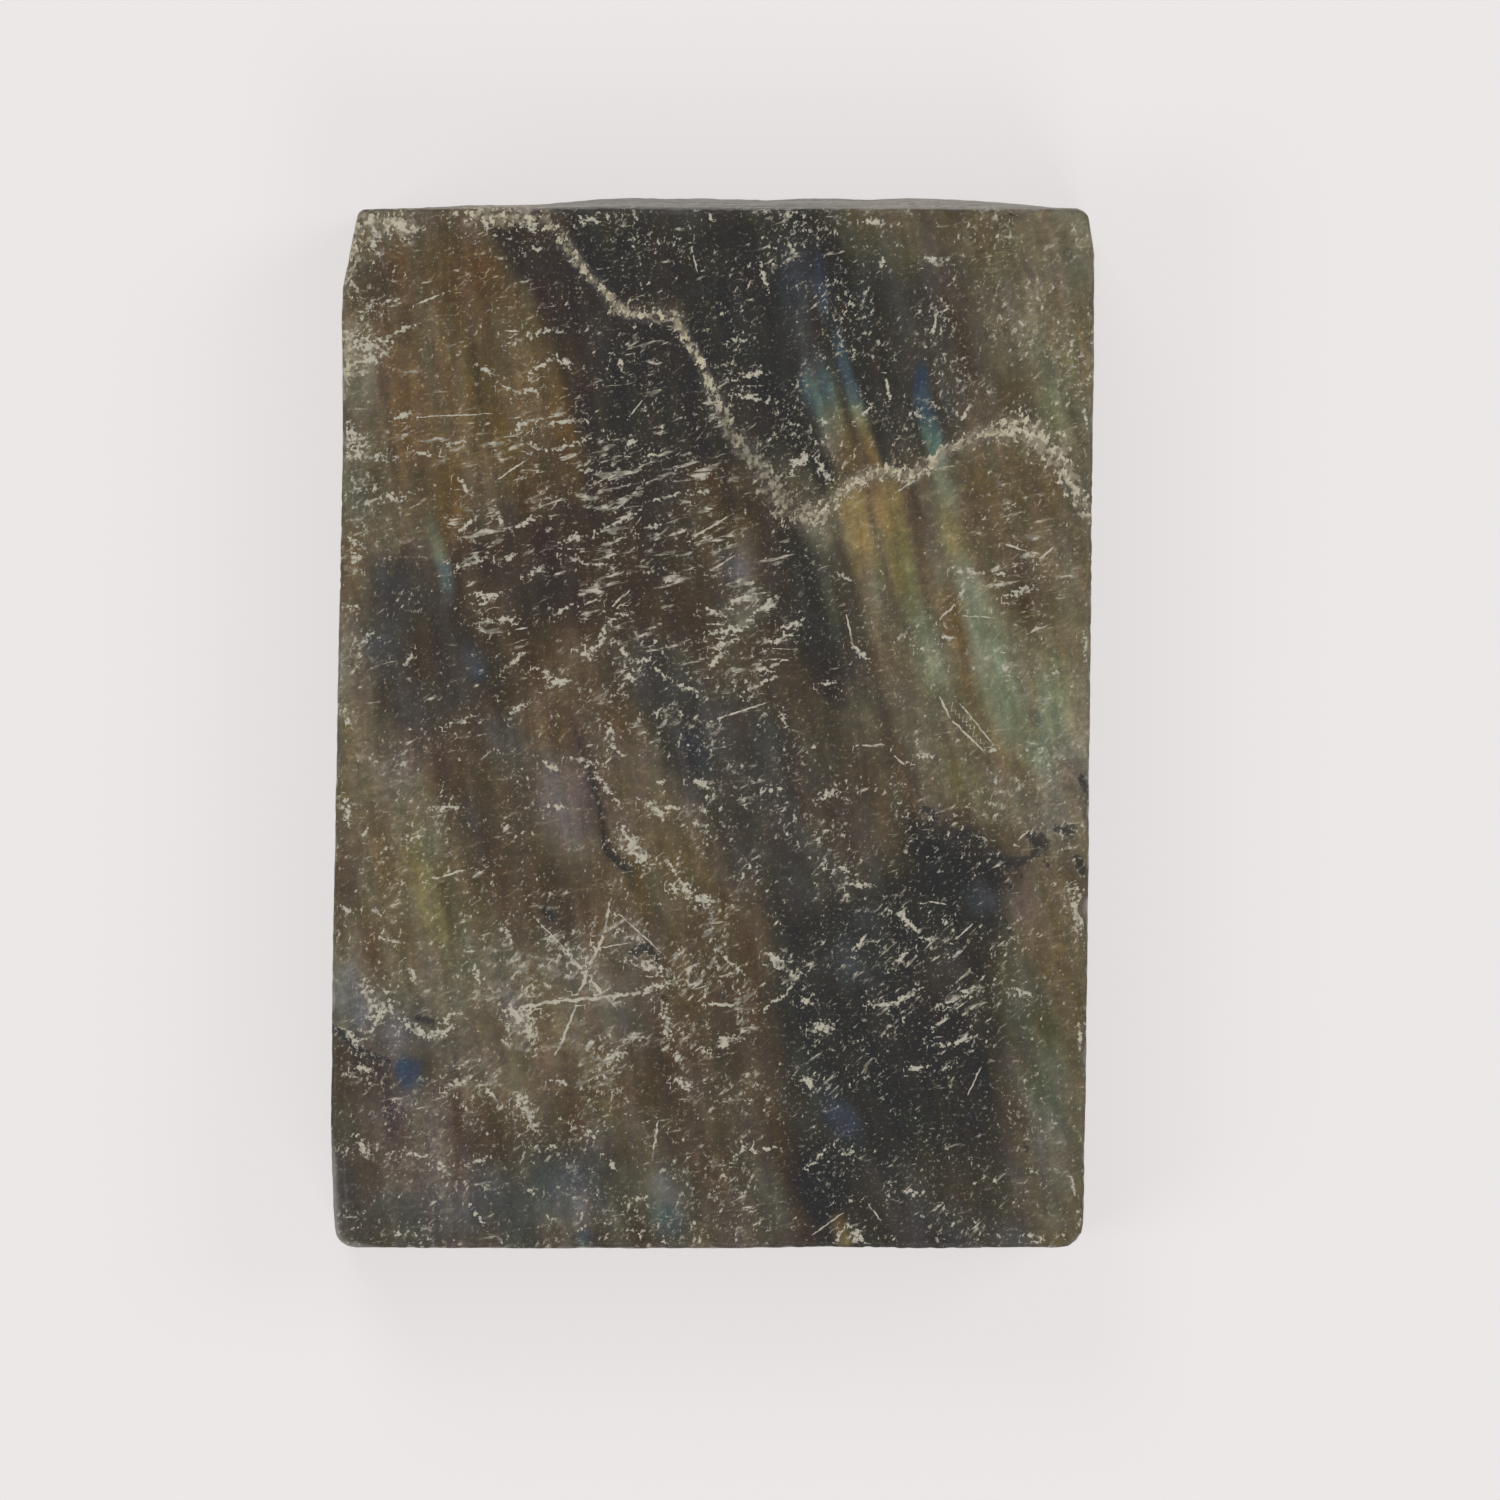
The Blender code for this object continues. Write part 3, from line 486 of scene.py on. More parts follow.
    (0.75, 2, 1.4, (2.2, 14.2, 0.4, SLATE), (2.4, 12.6, 0.55, DEEP_BLUE), (2.6, 11.2, 0.5, BLUE_GREY)),
    (0.6, 1.6, 0.8, (2.95, 13.9, 0.12, DEEP_BLUE), (3.12, 12.7, 0.17, BLUE), (3.3, 11.5, 0.15)),
    (0.4, 1.6, 0.8, (2.35, 12.9, 0.07, BLUE_GREY), (2.55, 11.6, 0.09), (2.75, 10.6, 0.09, BLUE)),
    (0.5, 1.6, 0.8, (3.9, 13.8, 0.12, SLATE), (4.35, 12.6, 0.16, BLUE_GREY), (4.6, 11, 0.14, SLATE)),
    (0.95, 1.3, 0.9, (2.7, 11.2, 0.24, SLATE), (2.85, 10.6, 0.34, BLUE_GREY), (2.96, 10.1, 0.4, TEAL),
     (3.14, 9.6, 0.42), (3.32, 9.1, 0.42, MOSS), (3.6, 8.3, 0.42, PALE_OLIVE), (3.95, 7.5, 0.36, OCHRE),
     (4.2, 6.7, 0.3)),
    (0.6, 1.2, 0.8, (2.62, 10.7, 0.08, TEAL), (2.82, 10.1, 0.13, MINT), (3, 9.5, 0.13),
     (3.25, 8.7, 0.12, SAGE), (3.5, 7.9, 0.1, OLIVE)),
    (0.5, 1.2, 0.8, (3.1, 10.2, 0.06, BLUE), (3.38, 9.4, 0.1, TEAL), (3.62, 8.7, 0.11, SAGE),
     (3.9, 7.9, 0.1, PALE_OLIVE)),
    (0.95, 1.3, 0.9, (3.4, 11.8, 0.1, SLATE), (3.62, 10.9, 0.15, BLUE), (3.75, 10.35, 0.18),
     (3.92, 9.7, 0.2), (4.05, 9.25, 0.23, TEAL), (4.2, 8.75, 0.25, SAGE), (4.38, 8.25, 0.24, YELLOW_GREEN),
     (4.54, 7.8, 0.22, GOLD), (4.75, 7.2, 0.2, OCHRE), (4.95, 6.6, 0.15)),
    (0.6, 1.6, 0.8, (3.3, 11.2, 0.06, CHARCOAL), (3.46, 10.4, 0.09), (3.68, 9.4, 0.08, DARK_BROWN),
     (3.98, 8.4, 0.08), (4.24, 7.6, 0.08, BROWN)),
    (0.7, 2, 0.8, (1.6, 7.9, 0.3, OLIVE_BROWN), (2.5, 7, 0.4, OLIVE), (3.2, 6.3, 0.3)),
    (0.7, 2, 0.8, (4.9, 7.9, 0.35, OLIVE_BROWN), (5.8, 7.7, 0.35), (7.4, 8.6, 0.4)),
    (0.5, 2, 0.8, (4.6, 10.4, 0.25, SLATE), (5, 9, 0.3, GREY), (5.3, 8, 0.3)),
    (1, 1.3, 0.6, (5.88, 10.6, 0.14, SLATE), (5.98, 10, 0.18, FLASH_BLUE), (6.04, 9.6, 0.22, BLUE),
     (6.12, 9.15, 0.24), (6.22, 8.75, 0.27, TEAL), (6.32, 8.3, 0.27, MINT), (6.42, 7.9, 0.24),
     (6.55, 7.4, 0.2, SAGE), (6.7, 6.9, 0.16)),
    (0.6, 1.2, 0.4, (6, 9, 0.07, TEAL), (6.12, 8.5, 0.1, MINT), (6.25, 8.1, 0.09, SAGE)),
    (0.5, 1.4, 0.6, (6.5, 10.4, 0.08, BLUE_GREY), (6.85, 9, 0.1)),
    (0.5, 1.4, 0.6, (7.1, 10.6, 0.08, BLUE_GREY), (7.35, 9.4, 0.1)),
    (0.6, 2, 0.8, (6.7, 12.8, 0.4, RED_BROWN), (7.1, 11.2, 0.4, BROWN), (7.2, 9.8, 0.3)),
    (0.4, 2, 0.6, (5.2, 12.4, 0.3, SLATE), (5.6, 11.2, 0.3)),
    (0.85, 2, 1, (8.8, 14.1, 0.5, PALE_OLIVE), (9.4, 12.9, 0.8, TAN), (9.5, 11.6, 0.6, PALE_OLIVE)),
    (0.6, 2, 0.8, (9.6, 11, 0.2, OLIVE), (9.85, 9.6, 0.3, SAGE), (10.1, 8.4, 0.25),
     (10.4, 7.4, 0.2, PALE_OLIVE)),
    (0.5, 2, 0.8, (8, 13.2, 0.2, MOSS), (8.3, 12.2, 0.25, OLIVE)),
    (0.5, 2, 0.8, (8.4, 14.9, 0.4, OLIVE_BROWN), (10.3, 14.9, 0.4, TAN)),
    (0.5, 2, 0.8, (8.3, 10.6, 0.4, OLIVE), (8.6, 9.2, 0.35, BROWN)),
    (0.35, 2, 1, (0.4, 13.8, 0.6, SLATE), (1.2, 12, 0.6)),
    (0.4, 2, 1, (-2.8, 13.8, 0.5, SLATE), (-1.6, 12.6, 0.5)),
    (0.4, 2, 1, (1.2, 14.4, 0.5, GREY), (2.2, 13.4, 0.4)),
    (0.4, 2, 0.8, (1, 9.6, 0.5, DARK_BROWN), (2, 8, 0.5)),
    # lower left
    (0.6, 2, 0.8, (-9.8, -14.1, 0.7, ASH), (-7, -14.2, 0.8), (-4.6, -14, 0.9), (-2.6, -14.2, 0.8)),
    (1, 2, 0.4, (-11, -7, 0.6, SILVER), (-10.5, -8, 0.7), (-9.8, -8.6, 0.6)),
    (0.9, 2, 0.3, (-9.6, -8.7, 0.5, LILAC_GREY), (-8.6, -9.1, 0.5)),
    (0.7, 2, 0.5, (-10.5, -9.3, 0.25, DARK_BROWN), (-9.7, -9.9, 0.3, UMBER), (-9.5, -10.5, 0.25, GREY)),
    (0.5, 2, 0.4, (-9.2, -10.9, 0.4, LILAC_GREY), (-8.3, -10.7, 0.35)),
    (0.8, 1.2, 0, (-8.82, -10, 0.36, FLASH_BLUE), (-8.74, -10.25, 0.32)),
    (0.5, 2, 0.6, (-9.9, -11, 0.35, BLUE_GREY), (-9.5, -11.4, 0.3)),
    (0.6, 2, 0.6, (-7.4, -10.2, 0.4, OLIVE), (-6.9, -11.4, 0.5, GOLD_BROWN)),
    (0.6, 2, 0.8, (-8.5, -10.9, 0.5, TAN), (-7.95, -11.7, 0.65), (-8.4, -13, 0.5)),
    (0.6, 2, 0.8, (-5.4, -14.2, 0.5, OLIVE_GREY), (-4, -13.9, 0.6, SILVER), (-3, -14.6, 0.5, OLIVE_GREY)),
    (0.6, 2, 1, (-10.9, -11, 0.3, SLATE), (-10.7, -12.6, 0.4, GREY), (-10.6, -14.6, 0.4, SLATE)),
    (0.7, 1.6, 1, (-7.5, -9.6, 0.08, RED_BROWN), (-7.35, -11.6, 0.12, BROWN), (-7.3, -13.4, 0.1)),
    (0.8, 2, 0.7, (-7, -11.7, 0.4, BROWN), (-6.4, -12.6, 0.5)),
    (0.6, 2, 0.6, (-6.5, -13.3, 0.35, BLUE_GREY), (-6.2, -14.4, 0.4)),
    (0.6, 2, 0.5, (-9.6, -13.2, 0.4, LILAC_GREY), (-9.2, -13.9, 0.4, OLIVE_GREY),
     (-8.6, -14.7, 0.4, GREY)),
    (0.7, 2, 0.5, (-5.8, -10, 0.4, PALE_OLIVE), (-5.4, -11, 0.5, TAN), (-5.5, -11.9, 0.4, OLIVE)),
    (0.75, 2, 0.6, (-5.6, -13.1, 0.6, OLIVE_GREY), (-4.6, -13.4, 0.7, BLUE_GREY), (-3.9, -12.8, 0.6),
     (-3.3, -11.9, 0.5, LILAC_GREY), (-3.1, -11.3, 0.4, OLIVE_GREY)),
    (0.5, 2, 0.6, (-4.5, -11.4, 0.35, OLIVE_GREY), (-4.2, -12.2, 0.3, BROWN)),
    (0.7, 2, 0.5, (-2.9, -12.8, 0.4, OLIVE_GREY), (-2.6, -13.6, 0.4), (-2.8, -14.6, 0.4)),
    (0.8, 2, 0.4, (-1.8, -12.9, 0.4, SILVER), (-1.45, -13.6, 0.5), (-1.3, -14.2, 0.5, TEAL),
     (-1.1, -15, 0.4, BLUE_GREY)),
    (0.5, 2, 0.4, (0.6, -13.8, 0.5, GREY), (1, -14.8, 0.5)),
    (0.7, 2, 0.2, (-4, -14.7, 0.2, BLUE_GREY), (-3.7, -14.85, 0.25, BLUE), (-3.4, -15, 0.2, BLUE_GREY)),
    # lower right
    (0.6, 2, 0.8, (3.2, -6.2, 0.5, SLATE), (4, -7.1, 0.6, BLUE_GREY), (4.8, -7.6, 0.4, SLATE)),
    (0.5, 2, 0.6, (2.4, -9.4, 0.2, GREY), (2.9, -11, 0.2), (3.6, -12.3, 0.2)),
    (0.95, 2, 0.6, (2.8, -12.6, 0.5, BLACK), (3.2, -13.6, 0.6), (3.3, -14.4, 0.3, CHARCOAL)),
    (1, 1.5, 0.4, (3.4, -10.8, 0.4, DEEP_BLUE), (4.05, -12, 0.42)),
    (0.5, 2, 0.4, (4.1, -5.3, 0.3, BLUE_GREY), (4.7, -5.8, 0.3)),
    (0.85, 2, 0.3, (7.45, -4.4, 0.35, BLUE_GREY), (7.8, -5.1, 0.4), (7.9, -5.6, 0.3, SLATE)),
    (0.85, 1.4, 0.5, (6.2, -3.2, 0.4, CHARCOAL), (7.3, -3.9, 0.6), (8.5, -4.4, 0.5)),
    (0.5, 2, 0.5, (5.2, -3.9, 0.4, GREY), (6.2, -4.6, 0.4, SLATE)),
    (0.6, 2, 0.8, (6, -7.6, 0.5, GREY), (7, -6.4, 0.6)),
    (0.5, 2, 0.6, (7.6, -7.4, 0.5, OLIVE_BROWN), (8, -9, 0.4, GREY)),
    (0.5, 2, 0.6, (5.2, -13.6, 0.5, GREY), (6, -14.6, 0.6, BLUE_GREY)),
    (0.4, 2, 0.6, (7.2, -13.2, 0.4, DARK_BROWN), (7.7, -14.4, 0.4)),
    (0.6, 2, 0.6, (8.8, -5, 0.35, LILAC_GREY), (9.2, -6.2, 0.4, OCHRE)),
    (0.6, 2, 1, (10, -4.4, 0.5, OLIVE), (10.1, -6.4, 0.6, OCHRE), (10.4, -9, 0.4, OLIVE)),
    (0.5, 2, 0.8, (8.9, -7.4, 0.35, BLUE_GREY), (9, -8.8, 0.4)),
    (0.6, 2, 1.2, (9.6, -8.8, 0.4, MOSS), (9.5, -10.8, 0.5), (9.9, -12.8, 0.5, TAN)),
    (0.5, 2, 0.8, (10.5, -10.2, 0.3, OCHRE), (10.6, -12.4, 0.4, PALE_OLIVE)),
    (0.7, 2, 0.6, (8.8, -13.7, 0.4, OLIVE_BROWN), (8.9, -15, 0.5, BLUE_GREY)),
    (0.6, 2, 0.5, (10, -14, 0.4, OLIVE), (9.7, -14.8, 0.4, SILVER)),
    (0.9, 1.2, 0, (3.6, -14.35, 0.2, GOLD_BROWN), (3.75, -14.95, 0.28, OCHRE)),
)


# The stone between the patches, the look that the mottling's strengths are given for, and the least.
BASE_SHADE = (80, 70, 56)
MID_LOOK = 72.0
DARKEST_LOOK = 30.0
# The share of light that the surface shines back whatever its colour, and the least tint left.
SHINE = 0.022
DARKEST_TINT = 0.002
# The pattern's place on the block, and how far it leans inwards down the walls.
PATTERN_SHIFT = (0.006, -0.069)
DEPTH_LEAN = 0.35
# The lamellae's lean at the left edge, and its growth to the right. The washes' ends feather along
# them, and their sides sway.
LEAN = 0.10
LEAN_GROWTH = 0.012
LEFT_EDGE = -10.0
FEATHER = 0.34
SWAY = 0.05
# Mottling: size of its hills, their squeeze along the lamellae, then how far it lifts, warms and
# greens the look, and a seed. The last two shift red, green and blue by these shares.
MOTTLES = (
    (1.3, 0.6, 5.0, 2.0, 0.9, 31),
    (0.5, 0.3, 6.5, 2.4, 1.1, 41),
    (0.22, 0.25, 7.0, 2.0, 1.2, 51),
)
WARMER = (1.0, 0.1, -1.0)
GREENER = (-0.6, 1.0, -0.5)
LATTICE = 64


def ease(value):
    """From 0 to 1, slowly at both ends, and level beyond them."""
    value = np.clip(value, 0.0, 1.0)
    return value * value * (3 - 2 * value)


def drift(x, y, grain, seed):
    """Smooth chance drift between -1 and 1, its hills about one grain across."""
    table = np.random.default_rng(seed).uniform(-1.0, 1.0, (LATTICE, LATTICE))
    across, along = x / grain, y / grain
    column, row = np.floor(across).astype(int), np.floor(along).astype(int)
    right, up = ease(across - column), ease(along - row)
    column, row = column % LATTICE, row % LATTICE
    next_column, next_row = (column + 1) % LATTICE, (row + 1) % LATTICE
    lower = table[column, row] * (1 - right) + table[next_column, row] * right
    upper = table[column, next_row] * (1 - right) + table[next_column, next_row] * right
    return lower * (1 - up) + upper * up


def from_line(x, y, start, end):
    """Distance from a straight piece of line, and how far along it the nearest point lies."""
    run, rise = end[0] - start[0], end[1] - start[1]
    share = ((x - start[0]) * run + (y - start[1]) * rise) / (run * run + rise * rise)
    share = np.clip(share, 0.0, 1.0)
    return np.hypot(x - start[0] - share * run, y - start[1] - share * rise), share


def patch_cover(x, y, corners, softness):
    """Cover of a patch: 0 outside, 1 well inside, eased over its soft edge."""
    inside = np.zeros(len(x), bool)
    nearest = np.full(len(x), np.inf)
    for start, end in zip(corners, corners[1:] + corners[:1]):
        nearest = np.minimum(nearest, from_line(x, y, start, end)[0])
        if start[1] != end[1]:
            crossing = start[0] + (y - start[1]) / (end[1] - start[1]) * (end[0] - start[0])
            inside ^= ((start[1] > y) != (end[1] > y)) & (x < crossing)
    return ease(np.where(inside, nearest, -nearest) / softness + 0.5)


def from_path(x, y, places):
    """Distance from a path, the run along it to the nearest point, its length, and its values there."""
    distance, run, length = np.full(len(x), np.inf), np.zeros(len(x)), 0.0
    values = np.zeros((len(x), len(places[0]) - 2))
    for start, end in zip(places, places[1:]):
        away, share = from_line(x, y, start, end)
        nearer = away < distance
        distance[nearer] = away[nearer]
        run[nearer] = length + share[nearer] * math.dist(start[:2], end[:2])
        first, last = np.array(start[2:]), np.array(end[2:])
        values[nearer] = first + share[nearer, None] * (last - first)
        length += math.dist(start[:2], end[:2])
    return distance, run, length, values


def streak_cover(x, y, softness, fade, places):
    """Cover of a streak along a path, soft at its sides and fading towards its ends, and its look."""
    course, shade = [], ()
    for place in places:
        shade = place[3] if place[3:] else shade
        course.append(place[:3] + shade)
    distance, run, length, values = from_path(x, y, course)
    sides = ease((1 - distance / values[:, 0]) / softness + 0.5)
    fade = min(fade, length / 2)
    if fade > 0:
        sides *= ease(run / fade * 0.6 + 0.4) * ease((length - run) / fade * 0.6 + 0.4)
    return sides, values[:, 1:]


def to_light(look):
    """An 8-bit look as the share of light that it stands for (the usual sRGB curve)."""
    share = look / 255.0
    return np.where(share <= 0.04045, share / 12.92, ((share + 0.055) / 1.055) ** 2.4)


def stone_shade(x, y):
    """The stone's look at each place, patch over patch and streak over streak."""
    lean = x + (LEAN + LEAN_GROWTH * (x - LEFT_EDGE)) * y
    across = x + SWAY * drift(x, y, 0.6, 3)
    feather = FEATHER * (drift(lean, y, 0.22, 4) * 0.3 + drift(lean * 2.4, y * 0.5, 1.3, 5))
    look = np.ones((len(x), 3)) * BASE_SHADE
    for shade, strength, softness, *corners in PATCHES:
        cover = strength * patch_cover(across, y + feather, corners, softness)
        look += cover[:, None] * (np.array(shade) - look)
    for strength, softness, fade, *places in STREAKS:
        cover, streak_look = streak_cover(across, y + feather * min(fade, 1.0), softness, fade, places)
        look += strength * cover[:, None] * (streak_look - look)
    mottle = np.zeros(look.shape)
    for grain, squeeze, lift, warmth, green, seed in MOTTLES:
        mottle += lift * drift(lean, y * squeeze, grain, seed)[:, None]
        mottle += warmth * drift(lean, y * squeeze, grain, seed + 1)[:, None] * WARMER
        mottle += green * drift(lean, y * squeeze, grain, seed + 2)[:, None] * GREENER
    return look + mottle * look.mean(axis=1, keepdims=True) / MID_LOOK


depth = np.clip(slab_thickness - points[:, 2], 0.0, slab_thickness) * ~on_face
across_stone = points[:, 0] - PATTERN_SHIFT[0] + DEPTH_LEAN * depth
along_stone = points[:, 1] - PATTERN_SHIFT[1] - DEPTH_LEAN * depth
look = np.maximum(stone_shade(across_stone, along_stone), DARKEST_LOOK)
tint = np.maximum(to_light(look) - SHINE, DARKEST_TINT)


# Pale crumbling veins: places (x, y, half width, strength). They follow the veins cut in the solid.
VEINS = (
    ((-9.8, 14.55, 0.12, 0.6), (-9, 14.35, 0.18, 0.55), (-8.4, 14.3, 0.1, 0.4)),
    ((-10.2, 14.5, 0.22, 0.5), (-10.4, 13.7, 0.26, 0.6), (-10.75, 12.6, 0.18, 0.5)),
    ((-10.6, 11.4, 0.14, 0.4), (-10.5, 10.4, 0.18, 0.5), (-10.7, 9.4, 0.1, 0.3)),
    ((-7, 14.7, 0.12, 0.6), (-6.2, 14.62, 0.2, 0.7), (-5.4, 14.6, 0.18, 0.7), (-4.8, 14.5, 0.16, 0.7)),
    ((-5.1, 14.6, 0.14, 1), (-4.5, 14.2, 0.12, 1), (-3.9, 13.3, 0.09, 0.9), (-3.2, 12.5, 0.1, 0.9),
     (-2.7, 11.95, 0.14, 1), (-2, 11.78, 0.12, 1), (-1.1, 11.75, 0.12, 0.9), (-0.8, 11.1, 0.09, 0.9),
     (-0.3, 10.3, 0.1, 0.7), (0.1, 9.4, 0.12, 0.4), (0.5, 8.5, 0.18, 0.32), (1.1, 7.7, 0.26, 0.24),
     (1.7, 6.9, 0.3, 0.26), (2.2, 6.25, 0.32, 0.35), (2.9, 5.85, 0.2, 0.35)),
    ((2.4, 6.05, 0.14, 0.5), (3.3, 6.2, 0.16, 0.7), (3.9, 6.85, 0.14, 0.9), (4.6, 7.25, 0.13, 1),
     (5.2, 7.25, 0.15, 1), (5.8, 7.15, 0.15, 0.9), (6.2, 7.45, 0.14, 1), (6.8, 7.92, 0.12, 1),
     (7.8, 8.35, 0.15, 1), (8.4, 8.45, 0.26, 1), (8.9, 8.6, 0.34, 1), (9.4, 8.25, 0.3, 1),
     (9.9, 7.75, 0.26, 1), (10.2, 7.2, 0.22, 0.9), (10.6, 6.5, 0.2, 0.9), (10.9, 6, 0.16, 0.9)),
)

